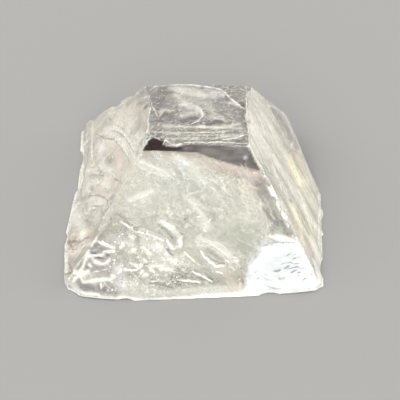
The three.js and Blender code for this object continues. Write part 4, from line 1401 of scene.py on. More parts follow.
@dataclass(frozen=True)
class Wisps(Share):
    """Fine bright lines that run one way."""

    lean: float
    size: float
    stretch: float
    seed: int
    thin: float = 0.75
    bend: float = 0.6
    bend_size: float = 0.25
    patch_edges: Pair = (-0.15, 0.5)
    patch_size: float = 0.5
    patch_shift: float = 9.0
    faintest: float = 0.35

    def at(self, across: Numbers, up: Numbers) -> Numbers:
        """Gives the lines' share at each point."""
        grain = Grain(self.seed)
        along, side = turned(across, up, self.lean)
        side = side + self.bend * grain.layered(across * self.bend_size, up * self.bend_size, 2)
        vein = grain.veins(along / (self.size * self.stretch), side / self.size, 3)
        patchy = ease(*self.patch_edges, grain.layered(across * self.patch_size + self.patch_shift,
                                                       up * self.patch_size, 3))
        return ease(self.thin, 1.0, vein) * (self.faintest + (1.0 - self.faintest) * patchy)


@dataclass(frozen=True)
class Uneven(Share):
    """Noise over a whole side: a base and a swing, of the noise itself or of its crests."""

    across: float
    up: float
    seed: int
    layers: int = 3
    crest: Optional[Pair] = None
    base: float = 0.0
    swing: float = 1.0
    skew: Pair = (0.0, 0.0)
    gain: float = 0.5
    veined: bool = False

    def at(self, across: Numbers, up: Numbers) -> Numbers:
        """Gives the noise's share at each point."""
        grain = Grain(self.seed)
        first = across * self.across + up * self.skew[0]
        second = up * self.up + across * self.skew[1]
        noise = (grain.veins(first, second, self.layers) if self.veined
                 else grain.layered(first, second, self.layers, self.gain))
        return self.base + self.swing * (ease(*self.crest, noise) if self.crest else noise)


@dataclass(frozen=True)
class Slope(Share):
    """Rises across a side from one line to another."""

    low: float
    high: float
    way: Pair
    ragged: float = 0.0
    seed: int = 61
    fine: float = 1.2

    def at(self, across: Numbers, up: Numbers) -> Numbers:
        """Gives the slope's share at each point."""
        rough = self.ragged * Grain(self.seed).layered(across * self.fine, up * 0.0, 3)
        return ease(self.low, self.high, across * self.way[0] + up * self.way[1] + rough)


class Layer:
    """One layer of a film: a tone, its cover, and the shares that say where it lies."""

    def __init__(self, tone: Colour, cover: float, *shares: Share) -> None:
        """Keeps the tone, the cover and the shares."""
        self.tone, self.cover, self.shares = tone, cover, shares

    def lay(self, across: Numbers, up: Numbers, wash: Wash) -> None:
        """Lays the tone on a film."""
        wash.lay(self.tone, self.cover * math.prod(share.at(across, up) for share in self.shares))


@dataclass(frozen=True)
class Thinned:
    """Thins what has been laid so far, inside or outside a share."""

    taken: float
    share: Share
    outside: bool = False

    def lay(self, across: Numbers, up: Numbers, wash: Wash) -> None:
        """Thins a film."""
        share = self.share.at(across, up)
        wash.cover *= 1.0 - self.taken * (1.0 - share if self.outside else share)


@dataclass(frozen=True)
class Bands:
    """Broad soft bands along their paths."""

    marks: tuple
    gain: float = 1.0
    seed: int = 151
    fine: float = 1.5
    shift: float = 7.0
    wavy: float = 0.35
    half: Pair = (0.52, 0.03)

    def lay(self, across: Numbers, up: Numbers, wash: Wash) -> None:
        """Lays the bands on a film.

        Args:
            across: First coordinates.
            up: Second coordinates.
            wash: The film.
        """
        grain = Grain(self.seed)
        for number, mark in enumerate(self.marks):
            near = mark.near(across, up, 2 * mark.width)
            away = path_distance(across[near], up[near], mark.path)
            uneven = grain.layered(across[near] * self.fine + self.shift * number, up[near] * self.fine, 3)
            strength = np.zeros(len(across))
            half = self.half[0] * mark.width + self.half[1]
            strength[near] = np.exp(-(away * (1.0 + self.wavy * uneven) / half) ** 2)
            wash.lay(mark.tone.value, self.gain * mark.cover * strength)


def washed(layers: tuple, across: Numbers, up: Numbers) -> Wash:
    """Lays all of a film's layers.

    Args:
        layers: The layers.
        across: First coordinates of the film's points.
        up: Second coordinates.

    Returns:
        The film's colours.
    """
    wash = Wash(len(across))
    for layer in layers:
        layer.lay(across, up, wash)
    return wash


LOW_LEFT = (Slope(9.0, 5.0, (0.0, 1.0)), Slope(2.0, -2.0, (1.0, 0.0)))
FRONT_FILM = (
    Layer((0.92, 0.91, 0.80), 1.0, Uneven(0.4, 0.4, 61, 5, base=0.34, swing=0.22)),
    Layer((0.55, 0.55, 0.50), 0.32, Wisps(-38, 0.8, 3.0, 62, 0.6)),
    Layer((0.98, 0.98, 0.93), 0.42, Wisps(-36, 0.55, 3.5, 63)),
    Layer((0.98, 0.98, 0.93), 0.30, Wisps(-62, 0.5, 3.0, 64)),
    Layer((0.93, 0.92, 0.86), 0.35, Slope(3.0, 6.0, (1.0, 0.3)), Wisps(-75, 0.4, 6.0, 65, 0.6)),
    Layer((0.99, 0.99, 0.95), 0.7, *LOW_LEFT,
          Uneven(3.4, 5.6, 66, 4, (0.42, 0.66), skew=(1.1, -1.0), gain=0.7)),
    Layer((0.42, 0.41, 0.38), 0.40, *LOW_LEFT, Uneven(2.0, 2.6, 67, 3, (0.45, 0.7))),
    Layer((0.88, 0.92, 0.95), 0.40, Patch(FRONT_MILK_SPOTS, 0.9, 0.6)),
    Layer((0.97, 1.0, 1.0), 0.75, Uneven(1.6, 1.6, 68, 3, (0.35, 0.65)), Patch(FRONT_MILK_SPOTS, 0.9, 0.5)),
    Layer((0.74, 0.62, 0.58), 0.55, Patch(FRONT_PINK_BAND, 0.35, 0.25)),
    Layer((0.46, 0.45, 0.43), 0.60, Patch(FRONT_GREY_ZONE, 0.35, 0.2)),
    Layer((0.60, 0.66, 0.57), 0.50, Patch(FRONT_GREEN_PATCH, 0.35, 0.15)),
    Layer((0.76, 0.71, 0.62), 0.45, Patch(FRONT_WARM_LOW, 0.4, 0.3)),
    Layer((0.66, 0.65, 0.70), 0.35, Patch(FRONT_LAVENDER, 0.5, 0.3)),
    # Painted dark reflection low on the left.
    Layer((0.40, 0.37, 0.39), 1.0, Patch(FRONT_DARK_REFLECTION_CORNER, 0.3, 0.25),
          Uneven(0.5, 1.3, 69, 3, (-0.25, 0.25), base=0.50, swing=0.25)),
    # Painted window reflection.
    Layer((0.95, 0.98, 1.0), 0.96, Patch(FRONT_WINDOW_REFLECTION, 0.30, 0.15)),
    Layer((0.93, 0.98, 1.0), 0.9, Patch(FRONT_REFLECTION_CORNER, 0.12, 0.06)),
    # White along the front's foot: worn rim, partly painted highlight.
    Layer((0.99, 0.99, 0.96), 0.95, Slope(0.75, 0.25, (0.0, 1.0), ragged=0.15)),
    Thinned(0.9, Patch(SHADED_GAP_OUTLINE, 0.1)),
)
TOP_FILM = (
    Layer((0.62, 0.61, 0.60), 1.0, Uneven(0.6, 0.7, 71, 4, base=0.34, swing=0.30)),
    Layer((0.30, 0.28, 0.29), 0.40, Uneven(0.7, 1.0, 72, 3, (0.1, 0.5))),
    Layer((0.90, 0.90, 0.88), 0.40, Wisps(12, 0.45, 3.0, 73, 0.6)),
    Layer((0.75, 0.76, 0.73), 0.50, Patch(TOP_CLOUD, 0.5, 0.4)),
    Layer((0.68, 0.68, 0.66), 0.45, Patch(TOP_MIST, 0.4, 0.3)),
    # Painted shade on the left of the top.
    Layer((0.26, 0.24, 0.25), 0.65, Patch(TOP_SHADE_LEFT, 0.3, 0.3)),
    Layer((0.66, 0.63, 0.57), 1.0, Patch(TOP_CREAM_FRONT, 0.3, 0.2),
          Uneven(0.25, 2.6, 74, 2, (0.2, 0.8), base=0.35, swing=0.35, veined=True)),
    Layer((0.62, 0.59, 0.50), 0.75, Patch(TOP_BEIGE_FACET, 0.12, 0.05)),
)
LEFT_FILM = (
    Layer((0.95, 0.91, 0.84), 1.0, Uneven(0.45, 0.45, 81, 4, base=0.42, swing=0.20)),
    Layer((0.98, 0.97, 0.93), 0.45, Wisps(52, 0.5, 3.0, 82, 0.65)),
    Layer((0.55, 0.51, 0.47), 0.35, Wisps(48, 0.7, 3.0, 83, 0.7)),
    Layer((0.80, 0.70, 0.62), 0.45, Patch(LEFT_BEIGE_LOW, 0.5, 0.3)),
    Layer((0.80, 0.70, 0.62), 0.45, Patch(LEFT_BEIGE_HIGH, 0.5, 0.3)),
    Layer((0.52, 0.49, 0.46), 0.50, Patch(LEFT_GREY_TOP, 0.6, 0.4)),
    Layer((0.80, 0.74, 0.74), 0.40, Patch(LEFT_MAUVE_LOW, 0.5, 0.3)),
    Layer((0.90, 0.84, 0.70), 0.45, Patch(LEFT_STRAW_LOW, 0.4, 0.3)),
    Layer((0.42, 0.40, 0.40), 0.60, Patch(LEFT_GREY_LOW, 0.4, 0.3)),
)
RIGHT_FILM = (
    Layer((0.95, 0.94, 0.87), 1.0, Uneven(0.5, 0.5, 91, 4, base=0.42, swing=0.20)),
    Layer((0.99, 0.99, 0.95), 0.55, Wisps(62, 0.42, 6.0, 92, 0.55)),
    Layer((0.60, 0.59, 0.55), 0.25, Wisps(60, 0.5, 8.0, 93, 0.7)),
    Layer((0.98, 0.90, 0.66), 0.50, Patch(RIGHT_STRAW, 0.5, 0.4)),
    Layer((0.98, 0.86, 0.55), 0.55, Patch(RIGHT_GOLD, 0.35, 0.3)),
    Layer((0.60, 0.57, 0.54), 0.70, Patch(RIGHT_GREY_BAND, 0.2, 0.1)),
    Layer((0.70, 0.62, 0.60), 0.45, Patch(RIGHT_MAUVE, 0.4, 0.3)),
    Layer((0.80, 0.80, 0.84), 0.40, Patch(RIGHT_COOL_TOP, 0.4, 0.2)),
)
# Painted shade for the wedge under the top's front edge: dark greys and plum, with lighter streaks over them.
GAP_SHADE_AREA = Patch(SHADED_GAP_OUTLINE, 0.05)
GAP_SHADE_FILM = (
    Layer((0.155, 0.150, 0.142), 1.0, GAP_SHADE_AREA, Uneven(0.5, 2.2, 95, 3, base=0.95, swing=0.05)),
    Layer((0.23, 0.225, 0.215), 0.5, GAP_SHADE_AREA, Uneven(0.5, 2.2, 95, 3, (0.0, 0.6))),
    Layer((0.060, 0.045, 0.050), 1.0, GAP_SHADE_AREA, Patch(GAP_DARKEST_SHADE, 0.25, 0.2)),
    Layer((0.12, 0.095, 0.105), 0.8, GAP_SHADE_AREA, Patch(GAP_MIDDLE_SHADE, 0.3, 0.3)),
    Bands(GAP_SHADE_BANDS),
    Thinned(1.0, GAP_SHADE_AREA, outside=True),
)

FRONT_SKIN = (
    Layer((0.93, 0.92, 0.80), 1.0, Uneven(0.45, 0.45, 161, 4, base=0.16, swing=0.14)),
    Layer((1.0, 1.0, 0.93), 0.50, Wisps(-38, 0.5, 4.0, 162, 0.72)),
    Layer((1.0, 1.0, 0.93), 0.40, Wisps(-70, 0.42, 5.0, 163, 0.75)),
    Layer((0.55, 0.56, 0.48), 0.25, Wisps(-42, 0.6, 4.0, 164, 0.75)),
    Layer((0.80, 0.70, 0.64), 0.25, Patch(FRONT_PINK_BAND, 0.3, 0.2)),
    Thinned(0.6, Patch(FRONT_GREY_ZONE, 0.3, 0.2)),
    Layer((0.90, 0.90, 0.94), 0.14, Patch(FRONT_COOL_LOW, 0.8, 0.4)),
    Bands(FRONT_BANDS),
    # Painted window reflection, bluer in streaks.
    Layer((0.90, 0.96, 1.0), 0.72, Patch(FRONT_WINDOW_REFLECTION, 0.50, 0.25)),
    Layer((0.66, 0.76, 0.88), 0.35, Patch(FRONT_WINDOW_REFLECTION, 0.50, 0.25), Wisps(12, 0.5, 2.5, 165, 0.7)),
    Thinned(1.0, Patch(SHADED_GAP_OUTLINE, 0.12)),
)
LEFT_SKIN = (
    Layer((1.0, 0.96, 0.87), 1.0, Uneven(0.4, 0.4, 171, 4, base=0.46, swing=0.22)),
    Layer((0.72, 0.64, 0.56), 0.30, Wisps(54, 0.6, 5.0, 173, 0.7)),
    Layer((1.0, 0.99, 0.95), 0.60, Wisps(50, 0.5, 5.0, 172, 0.6)),
    Bands(LEFT_BANDS),
)
RIGHT_SKIN = (
    Layer((1.0, 0.98, 0.89), 1.0, Uneven(0.4, 0.4, 181, 4, base=0.60, swing=0.16)),
    Layer((0.78, 0.74, 0.64), 0.14, Wisps(61, 0.35, 5.0, 183, 0.7)),
    Layer((1.0, 1.0, 0.96), 0.65, Wisps(62, 0.32, 4.5, 182, 0.5)),
    Bands(RIGHT_BANDS),
)
BACK_SKIN = (
    Layer((1.0, 0.98, 0.92), 1.0, Uneven(0.4, 0.4, 195, 4, base=0.20, swing=0.20)),
    Layer((0.66, 0.64, 0.58), 0.25, Wisps(118, 0.6, 5.0, 196, 0.7)),
    Layer((1.0, 1.0, 0.97), 0.65, Wisps(115, 0.5, 5.0, 197, 0.6)),
)
TOP_SKIN = (
    # The top's skin is mostly dark grey: painted shade of the floor seen through the top, with white wisps
    # laid over it.
    Layer((0.33, 0.33, 0.325), 1.0, Uneven(0.7, 0.7, 191, 4, base=0.34, swing=0.25)),
    Layer((0.215, 0.205, 0.205), 0.42, Uneven(2.6, 3.4, 199, 3, (0.0, 0.5))),
    Layer((1.0, 1.0, 0.96), 0.50, Wisps(10, 0.3, 2.5, 192, 0.72)),
    Layer((1.0, 1.0, 0.96), 0.50, Wisps(35, 0.25, 2.0, 193, 0.78)),
    Bands(TOP_BANDS, gain=0.8),
    # Painted shade on the left of the top.
    Layer((0.17, 0.16, 0.16), 0.68, Patch(TOP_SHADE_LEFT, 0.4, 0.4)),
    Layer((0.46, 0.44, 0.44), 0.55, Wisps(8, 0.3, 2.5, 194, 0.62)),
    Layer((0.45, 0.43, 0.43), 0.35, Uneven(0.8, 1.4, 198, 3, (0.1, 0.6))),
)
SKINS = ((FRONT, FRONT_SKIN), (LEFT, LEFT_SKIN), (RIGHT, RIGHT_SKIN), (TOP, TOP_SKIN), (BACK, BACK_SKIN))


@dataclass
class FilmSheet:
    """A thin cloudy film that follows one side, a little way inside the stone."""

    name: str
    facet: Facet
    span: tuple
    layers: tuple
    depth: float = 0.25
    pitch: float = 0.1
    finish: Film = Film("cloud")
    least: float = 0.015
    wander: float = 0.05
    wander_size: float = 0.7
    wander_seed: int = 77

    def build(self, ground: Ground) -> None:
        """Models the film from one grid and hangs it under the surface.

        Args:
            ground: The stone's surface.
        """
        left, right, low, high = self.span
        film = flat_grid(self.name, int((right - left) / self.pitch), int((high - low) / self.pitch))
        bpy.ops.object.mode_set(mode="EDIT")
        bpy.ops.mesh.select_all(action="SELECT")
        bpy.ops.transform.resize(value=(right - left, high - low, 1.0))
        bpy.ops.transform.translate(value=((left + right) / 2, (low + high) / 2, 0.0))
        bpy.ops.object.mode_set(mode="OBJECT")
        across, up, _ = numbers_of(film.data.vertices, "co", 3).T
        wash = washed(self.layers, across, up)
        height = ground.heights(self.facet, across, up)
        gone = np.isnan(height) | (wash.cover < self.least)
        uneven = Grain(self.wander_seed).layered(across * self.wander_size, up * self.wander_size, 3)
        sink = self.depth + self.wander * uneven
        points = self.facet.place(across, up, np.where(np.isnan(height), 0.0, height) - sink)
        gone |= ~ground.within(points)
        set_corners(film.data, points)
        paint_corners(film.data, wash.colour, wash.cover)
        drop_corners(film, gone)
        finished(film, self.finish.build())


@dataclass
class MarkSet:
    """Cracks, streaks and flecks: one narrow leaf, copied along each mark's path."""

    name: str
    facet: Facet
    marks: tuple
    lift: float = 0.012
    step: float = 0.10
    fewest: int = 2
    finish: Film = Film("bruise", roughness=0.3, gloss=0.5, mottle=0.25, mottle_scale=5500.0, stretch=1.6)
    columns: tuple = ((-1.0, 0.0), (-0.55, 0.8), (0.0, 1.0), (0.55, 0.8), (1.0, 0.0))
    ragged: float = 0.4
    wander: float = 0.25
    gain: float = 1.35
    grain: Grain = Grain(131)

    def smooth_path(self, path: Outline) -> Numbers:
        """Runs a smooth line through a mark's points.

        Args:
            path: The points.

        Returns:
            Closely spaced points.
        """
        knots = np.array(path)
        padded = np.vstack([2 * knots[0] - knots[1], knots, 2 * knots[-1] - knots[-2]])
        run = []
        for before, start, end, after in zip(padded, padded[1:], padded[2:], padded[3:]):
            count = max(self.fewest, int(np.hypot(*(end - start)) / self.step))
            for share in np.linspace(0, 1, count, endpoint=False):
                run.append(0.5 * (2 * start + (end - before) * share
                                  + (2 * before - 5 * start + 4 * end - after) * share ** 2
                                  + (3 * start - before - 3 * end + after) * share ** 3))
        run.append(knots[-1])
        return np.array(run)

    def ribbon(self, number: int, mark: Mark) -> tuple[Numbers, Numbers]:
        """Lays out one mark, with an empty row after it that parts it from the next.

        Args:
            number: Which mark it is, which settles how ragged it comes out.
            mark: The mark.

        Returns:
            Places of its points, row by row, and their covers.
        """
        grain = self.grain
        run = self.smooth_path(mark.path)
        rows, none = np.arange(len(run)), np.zeros(len(run))
        way = np.gradient(run, axis=0)
        way /= np.maximum(np.hypot(way[:, 0], way[:, 1]), TINY)[:, None]
        side = np.column_stack([way[:, 1], -way[:, 0]])
        swell = 0.55 + 0.45 * np.sin(np.pi * (rows + 0.5) / len(rows))
        ends = np.minimum(1.0, 0.3 + np.minimum(rows, rows[::-1]) * 0.35)
        strength = np.clip(0.85 + 0.4 * grain.plain(rows * 0.33 + 17.0 * number, none), 0.2, 1.0)
        drift = self.wander * mark.width * swell * grain.plain(rows * 0.45 + 5.0 * number, none + 50.0)
        spots = np.full((len(run) + 1, len(self.columns), 2), np.nan)
        covers = np.zeros(spots.shape[:2])
        for column, (place, share) in enumerate(self.columns):
            uneven = 1.0 + self.ragged * grain.plain(rows * 0.9 + 31.0 * number, none + 7.0 * place)
            half = mark.width * 0.5 * self.gain * uneven * swell
            spots[:-1, column] = run + side * (place * half + drift)[:, None]
            covers[:-1, column] = mark.cover * share * ends * strength
        return spots, covers

    def build(self, ground: Ground) -> None:
        """Bends one long grid into all the marks and lays them on the surface.

        Args:
            ground: The stone's surface.
        """
        ribbons = [self.ribbon(number, mark) for number, mark in enumerate(self.marks)]
        spots = np.vstack([spots for spots, _ in ribbons])
        colours = np.vstack([np.tile(mark.tone.value, (covers.size, 1))
                             for mark, (_, covers) in zip(self.marks, ribbons)])
        piece = flat_grid(self.name, len(self.columns) - 1, len(spots) - 1)
        across, up = spots.reshape(-1, 2).T
        kept = np.flatnonzero(~np.isnan(across))
        height = np.full(len(across), np.nan)
        height[kept] = ground.heights(self.facet, across[kept], up[kept], lean=0.5)
        gone = np.isnan(height)
        places = (np.where(gone, 0.0, values) for values in (across, up, height + self.lift))
        points = self.facet.place(*places)
        set_corners(piece.data, points)
        paint_corners(piece.data, colours, np.concatenate([covers.ravel() for _, covers in ribbons]))
        drop_corners(piece, gone)
        finished(piece, self.finish.build())


# ---- the worn skin, painted shade and painted highlights ----------------------------------

NOTCH_SHAPE = ((-4.5, 12.1), (-2.75, 12.1), (-2.75, 14.8), (-4.5, 14.8))
# Near-black painted shade for the recess of the notch.
NOTCH_SHADE = (0.045, 0.030, 0.030)
WORN_AND_HIGHLIGHT_WHITE = (0.99, 0.99, 0.96)


@dataclass
class Frost:
    """The worn skin of the stone: worn white arrises and foot that are partly painted edge highlights, etched
    sides, and painted shade in the notch and in the wedge under the top's front edge.
    """

    crystal: bpy.types.Object
    name: str = "frost"
    lift: float = 0.006
    least: float = 0.02
    foot: float = 0.004
    # Sharpness over which edges are whitened, as wear and as painted highlight.
    bruise: Pair = (0.05, 0.26)
    squareness: Pair = (0.70, 0.93)
    grain: Grain = Grain(201)
    arris_grain: Grain = Grain(211)
    finish: Film = Film("frost", roughness=0.22, gloss=0.5, mottle=0.1, mottle_scale=2600.0)
    # A matt dark finish for the skin's faces that carry the darkest painted shade.
    dark_shade_finish: Film = Film("painted_dark_shade", roughness=0.9, gloss=0.05, mottle=0.0)
    dark_shade_limit: float = 0.09
    gap_shade_held: float = 0.85
    gap_shade_depths: Pair = (-1.6, 0.3)
    gap_shade_backward: float = 0.6
    points: Numbers = field(init=False)
    facing: Numbers = field(init=False)
    wash: Wash = field(init=False)

    def __post_init__(self) -> None:
        """Reads the stone's surface and starts with a clear skin."""
        self.points, self.facing = corners_of(self.crystal.data), directions_of(self.crystal.data)
        self.wash = Wash(len(self.points))

    def sharpness(self) -> Numbers:
        """Measures how sharply the stone bends outwards at each point.

        Returns:
            Bend at each point, above 0 on arrises.
        """
        edges = edges_of(self.crystal.data)
        count = np.maximum(np.bincount(edges.ravel(), minlength=len(self.points)), 1).astype(float)
        around = np.column_stack([summed_round(edges, values) / count for values in self.points.T])
        bend = -((around - self.points) * self.facing).sum(axis=1) / (CrystalBody.pitch / MM)
        for _ in range(2):
            bend = 0.5 * bend + 0.5 * summed_round(edges, bend) / count
        return bend

    def paint_sides(self) -> None:
        """Lays each side's own skin, and worn white where no true side is."""
        x, y, z = self.points.T
        free = np.ones(len(self.points))
        for facet, layers in SKINS:
            across, up, out = facet.flat(self.points)
            share = ease(*self.squareness, facet.faced(self.facing)) * (np.abs(out) < NEAR)
            side = washed(layers, across, up)
            self.wash.lay(side.colour, side.cover * share)
            free = np.minimum(free, 1.0 - share)
        speckle = self.grain.layered(x * 1.1 + z, y * 1.1 - z, 4)
        self.wash.lay((0.97, 0.97, 0.93), free * (0.10 + 0.16 * ease(-0.2, 0.6, speckle)))
        corner = ease(-6.0, -8.0, x) * ease(-6.0, -8.0, y) * ease(4.0, 2.5, z)
        self.wash.lay(WORN_AND_HIGHLIGHT_WHITE, 0.8 * free * corner)

    def paint_wear_and_edge_highlights(self) -> None:
        """Whitens sharp places and the foot: partly wear, partly painted edge highlights."""
        x, y, z = self.points.T
        broken = self.grain.layered(x * 2.2 + 0.7 * z, y * 2.2 - 0.9 * z, 3)
        crest = ease(HEIGHT - 0.5, HEIGHT - 0.2, z)
        left_arris = ease(0.5, 0.25, FRONT.off(self.points)) * ease(0.5, 0.25, LEFT.off(self.points))
        quiet = 1.0 - 0.80 * left_arris * ease(2.6, 4.2, z) * ease(10.6, 9.8, z)
        worn_and_highlit = quiet * ease(*self.bruise, self.sharpness())
        self.wash.lay(WORN_AND_HIGHLIGHT_WHITE, worn_and_highlit * np.clip(0.78 - 0.18 * crest + 0.75 * broken, 0.08, 1.0))
        rim_worn_and_highlit = ease(0.42, 0.12, z + 0.12 * broken) * ease(-0.75, -0.4, self.facing[:, 2])
        self.wash.lay(WORN_AND_HIGHLIGHT_WHITE, rim_worn_and_highlit * np.clip(0.9 + 0.3 * broken, 0.2, 1.0))

    def paint_arrises(self) -> None:
        """Paints the two front arrises: one chipped white with painted shadow beside its chips, one rubbed
        dull; low on the right arris the front side gets painted window reflection.
        """
        x, y, z = self.points.T
        front, right, left = (side.off(self.points) for side in (FRONT, RIGHT, LEFT))
        reach = np.maximum(front, right)
        uneven = self.arris_grain.layered(z * 2.4, (x + y) * 2.6, 3)
        high = ease(3.7, 4.3, z) * ease(HEIGHT - 0.9, HEIGHT - 2.4, z)
        # Painted shadow beside the chips.
        self.wash.lay((0.40, 0.38, 0.37), 0.7 * high * ease(0.52, 0.34, reach) * ease(-0.06, 0.06, uneven))
        self.wash.lay((1.0, 1.0, 0.97), 0.95 * high * ease(0.31, 0.14, reach) * ease(0.04, 0.20, uneven))
        ahead = ease(-0.2, 0.2, FRONT.faced(self.facing) - RIGHT.faced(self.facing))
        low = ease(4.3, 3.9, z) * ease(0.5, 0.3, front)
        # Painted window reflection on the front side, low by the right arris.
        self.wash.lay((0.96, 0.99, 1.0), 0.9 * low * ahead * ease(0.95, 0.60, right))
        self.wash.lay((1.0, 1.0, 0.98), 0.9 * low * (1.0 - ahead) * ease(0.28, 0.16, front))
        rubbed = ease(0.30, 0.08, np.maximum(front, left))
        rubbed *= ease(2.6, 3.4, z) * ease(HEIGHT - 0.6, HEIGHT - 1.6, z)
        self.wash.lay((0.60, 0.575, 0.51), rubbed * np.clip(0.50 + 0.5 * uneven, 0.1, 0.8))

    def paint_gap_shade(self) -> None:
        """Paints shade into the wedge under the top's front edge and into the notch at its left end."""
        across, up, out = FRONT.flat(self.points)
        lowest, highest = self.gap_shade_depths
        near = (out > lowest) * (out < highest) * (self.facing[:, 1] < self.gap_shade_backward)
        # Painted shade for the wedge under the top's front edge, laid on the skin.
        gap_shade = washed(GAP_SHADE_FILM, across, up)
        shown = ease(0.35, 0.7, FRONT.faced(self.facing)) * near
        self.wash.lay(gap_shade.colour, gap_shade.cover * shown, held=self.gap_shade_held)
        # Painted shade on the notch's walls and ledge.
        notch_shade = ease(-0.10, 0.02, edge_distance(across, up, NOTCH_SHAPE)) * near * (self.facing[:, 2] < 0.96)
        notch_shade = notch_shade * ease(-0.06, 0.0, -out) * ease(HEIGHT - 0.14, HEIGHT - 0.24, self.points[:, 2])
        notch_shade = notch_shade * np.maximum(ease(-0.10, -0.25, out), ease(12.70, 12.80, up))
        notch_shade = notch_shade * np.maximum(ease(0.75, 0.5, LEFT.faced(self.facing)), ease(-3.8, -3.6, across))
        self.wash.lay(NOTCH_SHADE, 0.97 * notch_shade)

    def build(self) -> None:
        """Copies the stone's surface, lifts it a hair and paints it."""
        mesh = self.crystal.data.copy()
        mesh.name = self.name
        skin = bpy.data.objects.new(self.name, mesh)
        bpy.context.scene.collection.objects.link(skin)
        self.paint_sides()
        self.paint_wear_and_edge_highlights()
        self.paint_arrises()
        self.paint_gap_shade()
        set_corners(mesh, self.points + self.facing * self.lift)
        paint_corners(mesh, self.wash.colour, self.wash.cover)
        drop_corners(skin, (self.wash.cover < self.least) | (self.points[:, 2] < self.foot))
        finished(skin, self.finish.build(), self.dark_shade_finish.build())
        tints = numbers_of(mesh.color_attributes[TINT].data, "color", 4)
        darkness = tints[:, :3].mean(axis=1)
        for face in mesh.polygons:
            face.material_index = int(darkness[list(face.vertices)].max() < self.dark_shade_limit)


# ---- flecks -------------------------------------------------------------------------------


@dataclass(frozen=True)
class Swarm:
    """Many small marks strewn over part of a side, all lying about one way."""

    region: Outline
    count: int
    tones: tuple
    lean: float
    spread: float
    length: tuple
    width: tuple
    cover: tuple
    seed: int
    bow: float = 0.12
    tries: int = 4
    places: tuple = (-0.5, -0.17, 0.17, 0.5)

    def marks(self) -> tuple:
        """Strews the marks.

        Returns:
            The marks.
        """
        luck = np.random.default_rng(self.seed)
        corners = np.array(self.region)
        low, high = corners.min(axis=0), corners.max(axis=0)
        spots = luck.uniform(low, high, (self.count * self.tries, 2))
        spots = spots[edge_distance(spots[:, 0], spots[:, 1], self.region) > 0.0][:self.count]
        strewn = []
        for across, up in spots:
            turn = math.radians(luck.normal(self.lean, self.spread))
            length = self.length[0] + (self.length[1] - self.length[0]) * luck.random() ** 2
            width, cover = luck.uniform(*self.width), luck.uniform(*self.cover)
            bow = luck.normal(0.0, self.bow) * length
            tone = self.tones[luck.integers(len(self.tones))]
            run, rise = math.cos(turn), math.sin(turn)
            path = tuple((across + run * length * share - rise * bow * (1 - 4 * share ** 2),
                          up + rise * length * share + run * bow * (1 - 4 * share ** 2))
                         for share in self.places)
            strewn.append(Mark(tone, cover, width, path))
        return tuple(strewn)


FRONT_REGION = ((-10.3, 0.3), (10.3, 0.3), (5.2, 10.6), (3.0, 11.2), (-1.0, 12.3), (-4.6, 12.3))
SPARKLE_REGION = ((-8.0, 0.4), (-1.5, 0.3), (-1.2, 3.0), (-3.2, 5.0), (-7.2, 5.8))
ARRIS_REGION = ((2.5, 11.0), (4.6, 11.0), (9.5, 3.2), (6.5, 4.5), (3.5, 8.5))
LEFT_REGION = ((-9.0, 0.3), (9.8, 0.3), (4.0, 12.8), (-4.0, 12.8))
RIGHT_REGION = ((-9.8, 0.3), (9.0, 0.3), (4.0, 12.8), (-3.8, 12.8))
TOP_REGION = ((-4.2, -3.6), (4.2, -3.6), (4.1, 3.6), (-4.1, 3.6))

FRONT_SWARMS = (
    Swarm(SPARKLE_REGION, 190, (Tone.SNOW,), 0, 60, (0.08, 0.32), (0.06, 0.17), (0.6, 1.0), 301),
    Swarm(SPARKLE_REGION, 90, (Tone.GREY, Tone.SHADE), -20, 50, (0.1, 0.4), (0.05, 0.11), (0.3, 0.6), 302),
    Swarm(FRONT_REGION, 110, (Tone.SNOW,), -40, 14, (0.3, 1.5), (0.07, 0.17), (0.18, 0.45), 303),
    Swarm(FRONT_REGION, 50, (Tone.SHADE, Tone.OLIVE), -42, 14, (0.3, 1.2), (0.06, 0.13), (0.12, 0.28), 304),
    Swarm(FRONT_REGION, 70, (Tone.SNOW, Tone.ICE), 10, 60, (0.06, 0.2), (0.06, 0.15), (0.5, 0.9), 305),
    Swarm(ARRIS_REGION, 36, (Tone.SNOW,), -66, 4, (1.2, 3.0), (0.10, 0.22), (0.12, 0.28), 306, 0.04),
)
LEFT_SWARMS = (
    Swarm(LEFT_REGION, 130, (Tone.SNOW,), 58, 14, (0.4, 1.8), (0.06, 0.14), (0.3, 0.7), 311),
    Swarm(LEFT_REGION, 60, (Tone.SAND, Tone.SHADE), 58, 16, (0.3, 1.4), (0.05, 0.10), (0.2, 0.5), 312),
)
RIGHT_SWARMS = (
    Swarm(RIGHT_REGION, 260, (Tone.SNOW,), 64, 14, (0.25, 1.6), (0.05, 0.12), (0.35, 0.75), 321, 0.1),
    Swarm(RIGHT_REGION, 90, (Tone.SAND, Tone.OLIVE), 64, 14, (0.25, 1.2), (0.04, 0.08), (0.2, 0.4), 322, 0.1),
    Swarm(RIGHT_REGION, 40, (Tone.SNOW,), 20, 50, (0.08, 0.25), (0.08, 0.18), (0.6, 0.9), 323),
)
BACK_SWARMS = (
    Swarm(LEFT_REGION, 110, (Tone.SNOW,), 115, 14, (0.4, 2.0), (0.06, 0.13), (0.3, 0.7), 341),
    Swarm(LEFT_REGION, 40, (Tone.SAND, Tone.SHADE), 112, 16, (0.3, 1.4), (0.05, 0.10), (0.2, 0.4), 342),
)
TOP_SWARMS = (
    Swarm(TOP_REGION, 260, (Tone.SNOW,), 12, 34, (0.08, 0.45), (0.03, 0.08), (0.3, 0.85), 331),
    Swarm(TOP_REGION, 190, (Tone.PLUM, Tone.GREY, Tone.SHADE), 8, 30, (0.08, 0.45), (0.03, 0.08),
          (0.25, 0.6), 332),
)


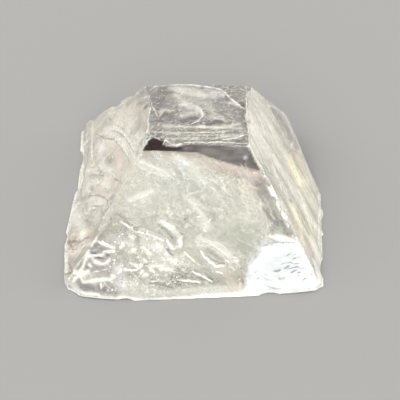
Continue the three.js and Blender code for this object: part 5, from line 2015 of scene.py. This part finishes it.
def strewn(swarms: tuple) -> tuple:
    """Gathers the marks of several swarms."""
    return tuple(mark for swarm in swarms for mark in swarm.marks())


# ---- all together -------------------------------------------------------------------------


def fill(ground: Ground) -> None:
    """Hangs the films, the skin and then the sharper marks.

    Args:
        ground: The stone's surface.
    """
    pearl = Film("pearl", roughness=0.3, gloss=0.5)
    gap_shade_finish = Film("gap_shade", roughness=0.5, gloss=0.15, mottle=0.0)
    for sheet in (
        FilmSheet("front_cloud", FRONT, (-11.2, 11.2, -0.3, 13.9), FRONT_FILM, depth=0.30),
        FilmSheet("left_cloud", LEFT, (-9.8, 10.2, -0.4, 13.9), LEFT_FILM, pitch=0.12),
        FilmSheet("right_cloud", RIGHT, (-10.6, 9.0, -0.2, 13.9), RIGHT_FILM, pitch=0.12),
        FilmSheet("top_cloud", TOP, (-5.2, 5.2, -4.6, 4.6), TOP_FILM, pitch=0.08, finish=pearl),
        # The dark sheet in the wedge under the top's front edge is painted shade.
        FilmSheet("gap_painted_shade", FRONT, (-5.2, 5.8, 10.9, 14.1), GAP_SHADE_FILM, 0.16, 0.05, gap_shade_finish, wander=0.0),
    ):
        sheet.build(ground)
    Frost(ground.crystal).build()
    for facet, swarms in ((FRONT, FRONT_SWARMS), (LEFT, LEFT_SWARMS), (RIGHT, RIGHT_SWARMS),
                          (BACK, BACK_SWARMS), (TOP, TOP_SWARMS)):
        MarkSet(facet.name + "_flecks", facet, strewn(swarms), lift=0.010).build(ground)
    for facet, marks in ((FRONT, FRONT_MARKS), (LEFT, LEFT_MARKS), (RIGHT, RIGHT_MARKS), (TOP, TOP_MARKS)):
        MarkSet(facet.name + "_marks", facet, marks).build(ground)
    MarkSet("gap_shade_marks", FRONT, GAP_SHADE_MARKS).build(ground)


def main() -> None:
    """Builds the studio, the camera, the stone and what is sealed in it, in that order."""
    logging.basicConfig(level=logging.INFO, format="%(message)s")
    Studio().build()
    ViewPoint().build()
    fill(Ground(CrystalBody().build()))


if __name__ == "__main__":
    main()
